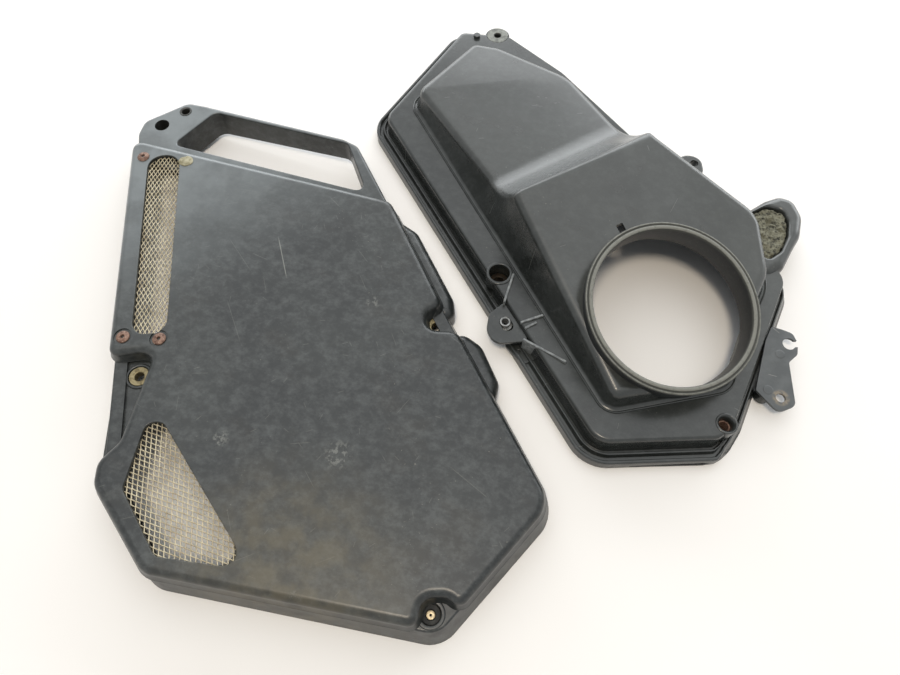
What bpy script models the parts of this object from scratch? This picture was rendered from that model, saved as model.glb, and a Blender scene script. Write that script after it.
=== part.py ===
# Air-filter box of a motorcycle, taken apart: the outer cover with its two wire-mesh inlets and the
# paper element inside it, and the inner case with the intake collar, lying side by side rim down.
# Lengths are millimetres and become metres where a vertex is made.
import math

import bmesh
import bpy
from mathutils import Matrix, Vector
from mathutils.geometry import delaunay_2d_cdt

MM = 0.001
ARC = 3
ROUND = 16
GAP = 0.3
THROUGH = 5.0
SHARP = 35.0

# Where each half lies, before the pair is centred
COVER_AT = (-100.0, 0.0)
CASE_AT = (100.0, 100.0)

# Outer cover: panel
PANEL_TOP = 32.0
PANEL_WALL = 2.5
PANEL_EDGE = 3.0
PANEL_FLARE = 2.0
SKIRT_BOTTOM = 21.0
RIDGE_ZONE = 9.0
PANEL_UNDER = PANEL_TOP - PANEL_WALL
RIDGE = ((-157.0, 162.0), (52.0, 100.0))
PANEL = [
    (-157, 162, 5), (-132, -30, 7), (-104, -25, 9), (-113, -90, 10), (-123, -104, 9), (-122, -119, 10),
    (-82, -171, 14), (78.5, -201, 3), (79.5, -180, 9), (98.5, -179, 9), (107, -190, 3), (163, -130, 18),
    (108, -15, 4), (83, -14, 9), (82, 6, 8), (95, 12, 3), (52, 100, 5),
]
UPPER_WINDOW = [(-143.5, 149, 12), (-122, -14, 10), (-98, -12, 10), (-118, 149, 12)]
LOWER_WINDOW = [(-98, -78, 7), (-104, -122, 5), (-76, -162, 6), (-18, -170, 9), (-87, -78, 7)]

# Wire meshes and the backing frames that hold them
MESH_PITCH = 7.5
MESH_STRAND = 1.4
MESH_THICK = 1.0
UPPER_MESH_LAP = 2.5
LOWER_MESH_LAP = 5.0
UPPER_MESH_TURN = 40.0
LOWER_MESH_TURN = -12.0
UPPER_BACKING = [
    (-150.5, 152, 2), (-130.2, -22, 6), (-93, -21, 6), (-106.5, 140, 2), (-115.5, 140, 2), (-98, -12, 10),
    (-122, -14, 10), (-143, 151, 2),
]
LOWER_BACKING_LAP = 6.5
BACKING_THICK = 1.2
MESH_TOP = PANEL_UNDER - GAP
BACKING_TOP = MESH_TOP - MESH_THICK - GAP

# Blind rivets round the upper window, and the fourth hole filled with sealant
RIVETS = ((-147.0, 147.0), (-127.5, -15.5), (-102.0, -17.0))
SEALANT_AT = (-112.0, 142.5)
RIVET_HEAD = 4.75
RIVET_DOME = 1.5
RIVET_SHANK = 2.4
RIVET_BORE = 1.2
RIVET_TAIL = 3.4
RIVET_CLEAR = 0.2
DAB_R = 6.4
DAB_TALL = 1.4

# Carrier under the panel
CARRIER = [
    (-157, 162, 5), (-133, -28, 30), (-123.5, -109, 12), (-82, -171, 14), (93, -204, 14), (163, -130, 18),
    (52, 100, 5),
]
CARRIER_TOP = SKIRT_BOTTOM - GAP
CARRIER_FLARE = 6.0
CARRIER_WALL = 2.8
LEDGE = 9.0
LOOP = [
    (-156, 159, 2), (50, 98, 2), (51.5, 104, 3), (24, 163, 9), (12, 170.5, 12), (-108, 207.5, 10),
    (-124, 211.5, 9), (-157, 190, 9), (-159.5, 176, 12),
]
SLOT = [(-125, 158, 5), (34, 110.5, 6), (13, 166, 8), (-99, 201, 8)]
LOOP_TOP = PANEL_UNDER - 1.0
LOOP_BOTTOM = 10.0
LOBE_1 = [(45, 92, 2), (86, 9, 2), (97, 5, 4), (104, 11, 6), (103, 23, 12), (75, 84, 12), (58, 97, 6)]
LOBE_2 = [(90, -20, 2), (116, -76, 2), (130, -58, 4), (133, -43, 8), (121, -18, 10), (106, -10, 5)]
LOBE_TOP = CARRIER_TOP - 0.4
PLAIN_HOLE = (-141.0, 185.0, 6.0)
INSERT_AT = (-124.0, 200.5)
INSERT_R = 5.0
INSERT_BORE = 3.3
INSERT_DEEP = 14.0
INSERT_PROUD = 0.4
INSERT_LEAD = 0.6

# Screw lugs of the carrier, seen through the notches of the panel
LEFT_LUG = [(-131, -58, 4), (-100, -58, 4), (-100, -22, 4), (-134, -22, 4)]
RIGHT_LUG = [(87.3, -16.7, 4), (103.5, -9, 2), (92.2, 14.5, 2), (76, 6.7, 4)]
LUG_TOP = 18.6
LUG_THICK = 4.5
BUSH_SEAT = LUG_TOP - 0.5
LEFT_BUSH_AT = (-116.0, -40.0)
RIGHT_BUSH_AT = (90.0, -1.0)
BUSH_R = 5.0
BUSH_BORE = 3.3
BUSH_FLANGE = 7.0
BUSH_LIP = 1.0
FIT = 0.15
CORNER_AT = (88.5, -193.0)
CORNER_BOSS = 10.0
CORNER_TOP = CARRIER_TOP - 0.8
CORNER_SEAT = CORNER_TOP - 0.5
GROMMET_R = 7.0
GROMMET_NECK = 5.2
GROMMET_FOOT = 6.0
GROMMET_PROUD = 4.0
SLEEVE_WALL = 0.8
SLEEVE_BORE = 3.3

# Paper element, pushed up into four corner ribs under the panel
ELEMENT_AT = (39.3, -44.3)
ELEMENT_TURN = math.degrees(math.atan2(-0.901, 0.434))
ELEMENT_LONG = 190.0
ELEMENT_WIDE = 100.0
ELEMENT_TOP = PANEL_UNDER - 4.0
ELEMENT_BOTTOM = 5.0
ELEMENT_WALL = 4.0
ELEMENT_SEAL = 2.5
PLEATS = 15
PAPER = 0.8
RIB_TALL = 14.0
RIB_THICK = 2.2
RIB_LONG = 16.0
RIB_CLEAR = 0.5

# Inner case: stepped flange and deck
DECK_TOP = 23.0
CASE_WALL = 3.0
DECK = [
    (-153, 101, 12), (-2, -190, 14), (77, -188, 12), (90, -171, 14), (148, -64, 12), (0, 153, 40),
    (-46, 200, 8), (-88, 205, 5),
]
FLANGE_OUT = 13.0
LIP_TOP = 9.0
GROOVE_FLOOR = 6.0
GROOVE = (10.0, 7.2)
SEAL_CLEAR = 0.25
SEAL_WIDE = 3.5
SEAL_FOOT = 0.4

# Scoop of the case: low end, ramp and the tilted face that carries the collar
SCOOP = [
    (-130, 113, 13), (6, -169, 10), (93, -154, 16), (126, -86, 18), (126, -50, 18), (4, 128, 40),
    (-56, 166, 14), (-80, 172, 10),
]
SCOOP_DRAFT = 0.17
SCOOP_EDGE = 5.0
SCOOP_FILLET = 2.5
CREASE_AT = (-54.0, -23.0)
CREASE_TOP = 73.0
LOW_TOP = 43.0
RAMP = 44.0
TILT = 0.226
ACROSS = (0.486, -0.874)

# Intake collar
COLLAR_AT = (48.5, -102.8)
COLLAR_NECK = 57.0
COLLAR_WALL = 2.0
COLLAR_RIM = 4.0
COLLAR_IN = COLLAR_NECK - COLLAR_WALL
COLLAR_OUT = COLLAR_NECK + COLLAR_RIM
COLLAR_TALL = 12.0
COLLAR_DEEP = 7.0
MOUTH_CUT = 30.0

# Lugs, ear and pockets of the case
TAB_AT = (-56.0, 202.0)
TAB_R = 11.0
TAB_THICK = 8.0
TAB_DROP = 1.0
TAB_BORE = 3.3
WASHER_R = 8.0
WASHER_THICK = 1.4
WASHER_SEAT = DECK_TOP - 1.6
SIDE_LUG = [(88, 21, 2), (106, 40, 9), (106, 55, 9), (94, 58, 9), (70, 47.5, 2)]
SIDE_LUG_AT = (99.0, 48.0)
SIDE_LUG_TOP = 19.2
SIDE_LUG_THICK = 7.0
SLOT_LUG = [(-73, -92, 6), (-72, -106, 8), (-62, -114, 8), (-36, -118, 3), (-48, -85, 3), (-60, -79, 6)]
SLOT_LUG_AT = (-60.0, -97.0)
SLOT_LUG_TOP = 19.0
SLOT_LUG_THICK = 3.0
SLOT_TRAVEL = 3.6
SLOT_WAY = (0.46, -0.888)
SLEEVE_R = 3.9
SLEEVE_IN = 2.6
SLEEVE_FOOT = 1.6
SLEEVE_DEEP = 4.0
SLEEVE_PROUD = 0.6
FIN = 1.8
FINS = (
    ((-55.0, -57.0), (-61.0, -80.0), 8.0, 24.0),
    ((-62.0, -113.0), (-19.0, -127.0), 8.0, 25.5),
    ((-47.0, -95.0), (-32.0, -90.0), 17.0, 25.0),
)
POCKET_AT = (-63.0, -58.0)
POCKET_R = 7.5
POCKET_WALL = 2.4
POCKET_FLOOR = 11.0
BUSH_FOOT = 5.0
CORNER_POCKET_AT = (84.0, -176.0)
CORNER_POCKET_R = 6.0
CLIP_AT = (21.0, -45.0)
CLIP_WIDE = 5.5
CLIP_LONG = 8.0
CLIP_TURN = 25.0
EAR = [(106, -5, 2), (142, -60, 2), (150, -56, 6), (167, -27, 10), (171, -9, 9), (158, 9, 9), (131, -3, 8)]
EAR_HOLLOW = [(154, -46, 4), (164, -26, 7), (167, -10, 6), (157, 4, 6), (138, -5, 4)]
EAR_FOOT = 4.2
EAR_TOP = 27.0
EAR_RECESS = [(138, -26, 3), (145, -42, 4), (160, -17, 7), (153, 2, 7), (133, -6, 5)]
EAR_RECESS_FLOOR = 19.0
PAD_TOP = 22.5
PAD_CLEAR = 0.6

# Steel bracket on the lower right edge of the case
BRACKET_TOP = 14.0
BRACKET_THICK = 2.0
BRACKET = [
    (113, -148, 2), (125, -165, 6), (138, -160, 5), (141, -127, 3), (148, -119, 2), (146, -115, 1.5),
    (141, -115, 2), (141, -110, 2), (147, -110, 1.5), (151, -107, 1.5), (146, -102, 2), (135, -98, 2),
    (128, -110, 2),
]
BRACKET_HOLE = (129.0, -154.0, 3.3)
BRACKET_RIVETS = ((121.5, -148.0), (136.0, -120.5))
BOSS_R = 5.5
BOSS_FOOT = 1.0
BRACKET_RIVET = 3.6
BRACKET_RIVET_TALL = 1.6
BOSS_BLIND = 3.0


def circle(at, radius, count=ROUND):
    """Points of a circle, anticlockwise."""
    turn = 2 * math.pi / count
    return [
        Vector((at[0] + radius * math.cos(i * turn), at[1] + radius * math.sin(i * turn)))
        for i in range(count)
    ]


def rounded(corners, inset=0.0, arc=ARC):
    """Points of an anticlockwise outline with rounded corners, moved inwards by inset."""
    sides = []
    for i, corner in enumerate(corners):
        start = Vector(corner[:2])
        way = (Vector(corners[(i + 1) % len(corners)][:2]) - start).normalized()
        sides.append((start + inset * Vector((-way.y, way.x)), way))
    points = []
    for i, corner in enumerate(corners):
        (p, a), (q, b) = sides[i - 1], sides[i]
        cross = a.x * b.y - a.y * b.x
        tip = p + a * (((q - p).x * b.y - (q - p).y * b.x) / cross)
        turn = math.atan2(cross, a.dot(b))
        side = math.copysign(1.0, turn)
        radius = max(corner[2] - side * inset, 0.3)
        start = tip - a * radius * abs(math.tan(turn / 2))
        middle = start + side * radius * Vector((-a.y, a.x))
        for k in range(arc + 1):
            points.append(middle + Matrix.Rotation(turn * k / arc, 2) @ (start - middle))
    return points


def within(point, loop):
    """Whether a point lies inside a closed loop."""
    inside = False
    for i, b in enumerate(loop):
        a = loop[i - 1]
        if (a.y > point.y) != (b.y > point.y):
            if point.x < a.x + (point.y - a.y) / (b.y - a.y) * (b.x - a.x):
                inside = not inside
    return inside


class Skin:
    """A closed surface made of rings of vertices, the walls between them and flat or bent caps."""

    def __init__(self):
        self.bm = bmesh.new()

    def ring(self, points, height):
        """A ring of vertices at one height, or at the height that a rule gives for each point."""
        rule = height if callable(height) else lambda x, y: height
        return [self.bm.verts.new(Vector((p[0], p[1], rule(p[0], p[1]))) * MM) for p in points]

    def wall(self, *rings):
        for a, b in zip(rings, rings[1:]):
            for i in range(len(a)):
                self.bm.faces.new((a[i - 1], a[i], b[i], b[i - 1]))

    def cap(self, outer, holes=(), creases=()):
        """Fills a ring, leaving out its holes; creases are pairs of ring vertices joined by an edge."""
        loops = [outer, *holes]
        verts = [v for loop in loops for v in loop]
        place = {v: i for i, v in enumerate(verts)}
        flat = [Vector(v.co.xy) / MM for v in verts]
        edges = []
        for loop in loops:
            edges += [(place[loop[i - 1]], place[loop[i]]) for i in range(len(loop))]
        edges += [(place[a], place[b]) for a, b in creases]
        outlines = [[Vector(v.co.xy) / MM for v in loop] for loop in loops]
        found = delaunay_2d_cdt(flat, edges, [], 1, 1e-6)
        for face in found[2]:
            corner = [verts[found[3][i][0]] for i in face]
            middle = sum((found[0][i] for i in face), Vector((0, 0))) / len(face)
            if within(middle, outlines[0]) and not any(within(middle, o) for o in outlines[1:]):
                self.bm.faces.new(corner)

    def object(self, name, material=None, parent=None):
        bmesh.ops.recalc_face_normals(self.bm, faces=self.bm.faces)
        mesh = bpy.data.meshes.new(name)
        self.bm.to_mesh(mesh)
        self.bm.free()
        mesh.shade_smooth()
        mesh.set_sharp_from_angle(angle=math.radians(SHARP))
        made = bpy.data.objects.new(name, mesh)
        bpy.context.scene.collection.objects.link(made)
        made.parent = parent
        if material:
            mesh.materials.append(material)
        else:
            made.hide_render = True
            made.display_type = "WIRE"
        return made


def solid(name, levels, outline, material=None, parent=None, holes=()):
    """A body whose outline is drawn in or out by level; each level is (inset, height)."""
    skin = Skin()
    rings = [skin.ring(rounded(outline, inset), z) for inset, z in levels]
    skin.wall(*rings)
    low, high = [], []
    for hole in holes:
        low.append(skin.ring(hole, levels[0][1]))
        high.append(skin.ring(hole, levels[-1][1]))
        skin.wall(low[-1], high[-1])
    skin.cap(rings[0], low)
    skin.cap(rings[-1], high)
    return skin.object(name, material, parent)


def turned(name, profile, at, material=None, parent=None, count=ROUND, hollow=False, tilt=None):
    """A turned body from (radius, height) pairs, standing at a point; hollow when its profile closes."""
    skin = Skin()
    rings = [skin.ring(circle((0, 0), r, count), z) for r, z in profile]
    skin.wall(*rings)
    if hollow:
        skin.wall(rings[-1], rings[0])
    else:
        skin.cap(rings[0])
        skin.cap(rings[-1])
    place = Matrix.Translation(Vector((at[0], at[1], at[2] if len(at) > 2 else 0)) * MM)
    bmesh.ops.transform(skin.bm, matrix=place @ (tilt or Matrix()), verts=skin.bm.verts)
    return skin.object(name, material, parent)


def combine(body, other, operation):
    modifier = body.modifiers.new(f"{operation.lower()}_{other.name}", "BOOLEAN")
    modifier.operation = operation
    modifier.solver = "EXACT"
    modifier.object = other


def add(body, *others):
    for other in others:
        combine(body, other, "UNION")


def cut(body, *others):
    for other in others:
        combine(body, other, "DIFFERENCE")


def material(name, colour, roughness, metallic=0.0):
    made = bpy.data.materials.new(name)
    made.use_nodes = True
    shader = made.node_tree.nodes["Principled BSDF"]
    shader.inputs["Base Color"].default_value = (*colour, 1)
    shader.inputs["Roughness"].default_value = roughness
    shader.inputs["Metallic"].default_value = metallic
    return made


def empty(name, at):
    made = bpy.data.objects.new(name, None)
    bpy.context.scene.collection.objects.link(made)
    made.location = Vector((at[0], at[1], 0)) * MM
    return made


def skirt(x, y):
    """Height of the panel's lower edge: it lifts along the ridge, where the loop passes under it."""
    a, b = Vector(RIDGE[0]), Vector(RIDGE[1])
    way = (b - a).normalized()
    away = abs((Vector((x, y)) - a).dot(Vector((-way.y, way.x))))
    return PANEL_UNDER - GAP if away < RIDGE_ZONE else SKIRT_BOTTOM


def corner_rib(name, along, aside):
    """One L-shaped rib at a corner of the paper element."""
    x = along * (ELEMENT_LONG / 2 + RIB_CLEAR)
    y = aside * (ELEMENT_WIDE / 2 + RIB_CLEAR)
    out = RIB_THICK
    shape = [(0, 0), (-RIB_LONG, 0), (-RIB_LONG, out), (out, out), (out, -RIB_LONG), (0, -RIB_LONG)]
    points = [Vector((x + along * p, y + aside * q)) for p, q in shape]
    turn = Matrix.Rotation(math.radians(ELEMENT_TURN), 2)
    points = [turn @ p + Vector(ELEMENT_AT) for p in points]
    skin = Skin()
    low = skin.ring(points, PANEL_UNDER - RIB_TALL)
    high = skin.ring(points, PANEL_UNDER + PANEL_WALL / 2)
    skin.wall(low, high)
    skin.cap(low)
    skin.cap(high)
    made = skin.object(name, None, cover)
    return made


def cover_panel():
    skin = Skin()
    low = skin.ring(rounded(PANEL, -PANEL_FLARE), skirt)
    side = skin.ring(rounded(PANEL, 0), PANEL_TOP - 0.62 * PANEL_EDGE)
    bend = skin.ring(rounded(PANEL, 0.3 * PANEL_EDGE), PANEL_TOP - 0.17 * PANEL_EDGE)
    top = skin.ring(rounded(PANEL, PANEL_EDGE), PANEL_TOP)
    under = skin.ring(rounded(PANEL, PANEL_WALL), PANEL_UNDER)
    inner = skin.ring(rounded(PANEL, PANEL_WALL - PANEL_FLARE), skirt)
    skin.wall(under, inner, low, side, bend, top)
    above, below = [], []
    for window in (UPPER_WINDOW, LOWER_WINDOW):
        lip = skin.ring(rounded(window, -0.8), PANEL_TOP)
        throat = skin.ring(rounded(window), PANEL_TOP - 0.8)
        back = skin.ring(rounded(window), PANEL_UNDER)
        skin.wall(lip, throat, back)
        above.append(lip)
        below.append(back)
    for at in (*RIVETS, SEALANT_AT):
        mouth = skin.ring(circle(at, RIVET_SHANK + RIVET_CLEAR, 12), PANEL_TOP)
        back = skin.ring(circle(at, RIVET_SHANK + RIVET_CLEAR, 12), PANEL_UNDER)
        skin.wall(mouth, back)
        above.append(mouth)
        below.append(back)
    skin.cap(top, above)
    skin.cap(under, below)
    made = skin.object("cover_panel", cover_plastic, cover)
    for along in (-1, 1):
        for aside in (-1, 1):
            add(made, corner_rib(f"rib_{along}_{aside}", along, aside))
    return made


def cover_carrier():
    skin = Skin()
    levels = (
        (-CARRIER_FLARE, 0), (0, CARRIER_TOP), (LEDGE, CARRIER_TOP), (LEDGE, CARRIER_TOP - CARRIER_WALL),
        (CARRIER_WALL, CARRIER_TOP - CARRIER_WALL), (CARRIER_WALL - CARRIER_FLARE, 0),
    )
    rings = [skin.ring(rounded(CARRIER, inset), z) for inset, z in levels]
    skin.wall(*rings, rings[0])
    made = skin.object("cover_carrier", cover_plastic, cover)
    loop_levels = ((0, LOOP_BOTTOM), (0, LOOP_TOP - 1.5), (1.5, LOOP_TOP))
    lobe_levels = ((0, 2), (0, LOBE_TOP - 8), (1.6, LOBE_TOP - 3), (5, LOBE_TOP - 0.6), (8, LOBE_TOP))
    lug_levels = ((0, LUG_TOP - LUG_THICK), (0, LUG_TOP))
    add(
        made,
        solid("loop", loop_levels, LOOP, parent=cover),
        solid("lobe_1", lobe_levels, LOBE_1, parent=cover),
        solid("lobe_2", lobe_levels, LOBE_2, parent=cover),
        solid("left_lug", lug_levels, LEFT_LUG, parent=cover),
        solid("right_lug", lug_levels, RIGHT_LUG, parent=cover),
        turned("corner_boss", ((CORNER_BOSS, 0.8), (CORNER_BOSS, CORNER_TOP)), CORNER_AT, parent=cover),
    )
    slot = ((0, LOOP_BOTTOM - THROUGH), (0, LOOP_TOP - 1), (-1, LOOP_TOP + 0.1))
    plain = ((PLAIN_HOLE[2], LOOP_BOTTOM - THROUGH), (PLAIN_HOLE[2], LOOP_TOP + THROUGH))
    insert = ((INSERT_R + FIT, LOOP_TOP - INSERT_DEEP), (INSERT_R + FIT, LOOP_TOP + THROUGH))
    bush = (
        (BUSH_R + FIT, LUG_TOP - 2 * LUG_THICK), (BUSH_R + FIT, BUSH_SEAT),
        (BUSH_FLANGE + GAP, BUSH_SEAT), (BUSH_FLANGE + GAP, CARRIER_TOP + 3),
    )
    socket = (
        (GROMMET_NECK + FIT, -1), (GROMMET_NECK + FIT, CORNER_SEAT),
        (GROMMET_R + GAP, CORNER_SEAT), (GROMMET_R + GAP, CARRIER_TOP + 3),
    )
    cut(
        made,
        solid("slot_cut", slot, SLOT, parent=cover),
        turned("plain_cut", plain, PLAIN_HOLE[:2], parent=cover),
        turned("insert_cut", insert, INSERT_AT, parent=cover),
        turned("left_bush_cut", bush, LEFT_BUSH_AT, parent=cover),
        turned("right_bush_cut", bush, RIGHT_BUSH_AT, parent=cover),
        turned("corner_cut", socket, CORNER_AT, parent=cover),
    )
    return made


def wire_mesh(name, window, turn, lap):
    """A flat net of square cells, cut to the cells that lie inside the window's outline plus the lap."""
    outline = rounded(window, -lap)
    middle = sum(outline, Vector((0, 0))) / len(outline)
    spin = Matrix.Rotation(math.radians(turn), 2)
    reach = int(max((p - middle).length for p in outline) / MESH_PITCH) + 1
    bm = bmesh.new()
    verts = {}

    def vertex(i, j):
        if (i, j) not in verts:
            p = middle + spin @ Vector((i * MESH_PITCH, j * MESH_PITCH))
            verts[i, j] = bm.verts.new(Vector((p.x, p.y, MESH_TOP)) * MM)
        return verts[i, j]

    for i in range(-reach, reach):
        for j in range(-reach, reach):
            cell = ((i, j), (i + 1, j), (i + 1, j + 1), (i, j + 1))
            if all(within(middle + spin @ Vector(c) * MESH_PITCH, outline) for c in cell):
                bm.faces.new([vertex(*c) for c in cell])
    cells = list(bm.faces)
    bm.normal_update()
    bmesh.ops.inset_individual(bm, faces=cells, thickness=MESH_STRAND / 2 * MM)
    bmesh.ops.delete(bm, geom=cells, context="FACES_ONLY")
    mesh = bpy.data.meshes.new(name)
    bm.to_mesh(mesh)
    bm.free()
    mesh.materials.append(mesh_wire)
    made = bpy.data.objects.new(name, mesh)
    bpy.context.scene.collection.objects.link(made)
    made.parent = cover
    thick = made.modifiers.new("thickness", "SOLIDIFY")
    thick.thickness = MESH_THICK * MM
    thick.offset = -1
    return made


def blind_rivet(name, at):
    seat = PANEL_TOP + GAP / 3
    end = BACKING_TOP - BACKING_THICK - GAP / 3
    profile = (
        (RIVET_TAIL, end - 4), (RIVET_TAIL, end), (RIVET_SHANK, end), (RIVET_SHANK, seat),
        (RIVET_HEAD, seat),
        (0.8 * RIVET_HEAD, seat + 0.75 * RIVET_DOME), (RIVET_BORE + 0.5, seat + RIVET_DOME),
        (RIVET_BORE, seat + 0.8 * RIVET_DOME), (RIVET_BORE, end - 3),
    )
    return turned(name, profile, at, rivet_steel, cover, 12)


def bush(name, at):
    top = BUSH_SEAT + GAP / 3
    low = LUG_TOP - LUG_THICK - 1
    profile = (
        (BUSH_BORE, low), (BUSH_R, low), (BUSH_R, top), (BUSH_FLANGE, top),
        (BUSH_FLANGE, top + BUSH_LIP), (BUSH_BORE, top + BUSH_LIP),
    )
    return turned(name, profile, at, bush_brass, cover, hollow=True)


def placed(points):
    """Points of the paper element's own plan, laid where it sits in the cover."""
    turn = Matrix.Rotation(math.radians(ELEMENT_TURN), 2)
    return [turn @ Vector(p) + Vector(ELEMENT_AT) for p in points]


def box(long, wide):
    x, y = long / 2, wide / 2
    return placed(((-x, -y), (x, -y), (x, y), (-x, y)))


def frame_ring(name, long, wide, wall, low, high, made_of):
    """A rectangular frame round the paper element."""
    skin = Skin()
    outer = [skin.ring(box(long, wide), z) for z in (low, high)]
    inner = [skin.ring(box(long - 2 * wall, wide - 2 * wall), z) for z in (low, high)]
    skin.wall(outer[0], outer[1], inner[1], inner[0], outer[0])
    return skin.object(name, made_of, cover)


def pleated_paper():
    long = ELEMENT_LONG - 2 * ELEMENT_WALL - 2 * GAP
    wide = ELEMENT_WIDE - 2 * ELEMENT_WALL - 2 * GAP
    pitch = long / (2 * PLEATS)
    low, high = ELEMENT_BOTTOM + 1, ELEMENT_TOP - 1
    fold = [(-long / 2 + i * pitch, high - PAPER if i % 2 else low) for i in range(2 * PLEATS + 1)]
    slope = math.hypot(pitch, high - low - PAPER) / pitch
    lift = PAPER * slope
    skin = Skin()
    rings = []
    for y in (-wide / 2, wide / 2):
        below = skin.ring(placed([(x, y) for x, _ in fold]), 0)
        above = skin.ring(placed([(x, y) for x, _ in reversed(fold)]), 0)
        for v, (_, z) in zip(below, fold):
            v.co.z = z * MM
        for v, (_, z) in zip(above, reversed(fold)):
            v.co.z = min(z + lift, high) * MM if z > low else (z + lift) * MM
        rings.append(below + above)
    skin.wall(*rings)
    for ring in rings:
        count = len(ring)
        for i in range(count // 2 - 1):
            skin.bm.faces.new((ring[i], ring[i + 1], ring[count - 2 - i], ring[count - 1 - i]))
    return skin.object("filter_paper", filter_paper, cover)


def scoop_top(x, y):
    """Height of the scoop's top: a low end, a hollow ramp up to the crease, then a tilted face."""
    s = (x - CREASE_AT[0]) * ACROSS[0] + (y - CREASE_AT[1]) * ACROSS[1]
    if s > 0:
        return CREASE_TOP - TILT * s
    rise = max(0.0, 1 + s / RAMP)
    return LOW_TOP + (CREASE_TOP - LOW_TOP) * rise * rise


def scoop_plan():
    """Base points of the scoop and the way each moves inwards, with points added along the ramp."""
    base = rounded(SCOOP)
    drawn = rounded(SCOOP, 1.0)
    pairs = [(p, q - p) for p, q in zip(base, drawn)]
    marks = [-RAMP * k for k in (1.0, 0.75, 0.5, 0.25, 0.0)]

    def reach(p):
        return (p.x - CREASE_AT[0]) * ACROSS[0] + (p.y - CREASE_AT[1]) * ACROSS[1]

    full, lines = [], {}
    for i, (b, way_b) in enumerate(pairs):
        a, way_a = pairs[i - 1]
        cuts = []
        for mark in marks:
            if (reach(a) - mark) * (reach(b) - mark) < 0:
                cuts.append(((mark - reach(a)) / (reach(b) - reach(a)), mark))
        for t, mark in sorted(cuts):
            lines.setdefault(mark, []).append(len(full))
            full.append((a.lerp(b, t), way_a.lerp(way_b, t)))
        full.append((b, way_b))
    return full, list(lines.values())


def scoop_rings(skin, plan, foot, wall):
    """Rings of the scoop from its foot up; wall is how far it lies inside the outer face."""
    rings = []
    for level in range(5):
        points, heights = [], []
        for p, way in plan:
            tall = scoop_top(p.x, p.y) - DECK_TOP
            edge = p + way * (SCOOP_DRAFT * tall + SCOOP_EDGE)
            top = scoop_top(edge.x, edge.y)
            tall = top - DECK_TOP
            step = (
                (-SCOOP_FILLET, DECK_TOP), (0.2 * SCOOP_FILLET, DECK_TOP + SCOOP_FILLET),
                (SCOOP_DRAFT * (tall - SCOOP_EDGE), top - SCOOP_EDGE),
                (SCOOP_DRAFT * tall + 0.3 * SCOOP_EDGE, top - 0.3 * SCOOP_EDGE), (0, top),
            )[level]
            points.append(edge if level == 4 else p + way * (step[0] + wall))
            heights.append(step[1] - wall if level else foot)
        ring = skin.ring(points, 0)
        for v, z in zip(ring, heights):
            v.co.z = z * MM
        rings.append(ring)
    return rings


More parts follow.
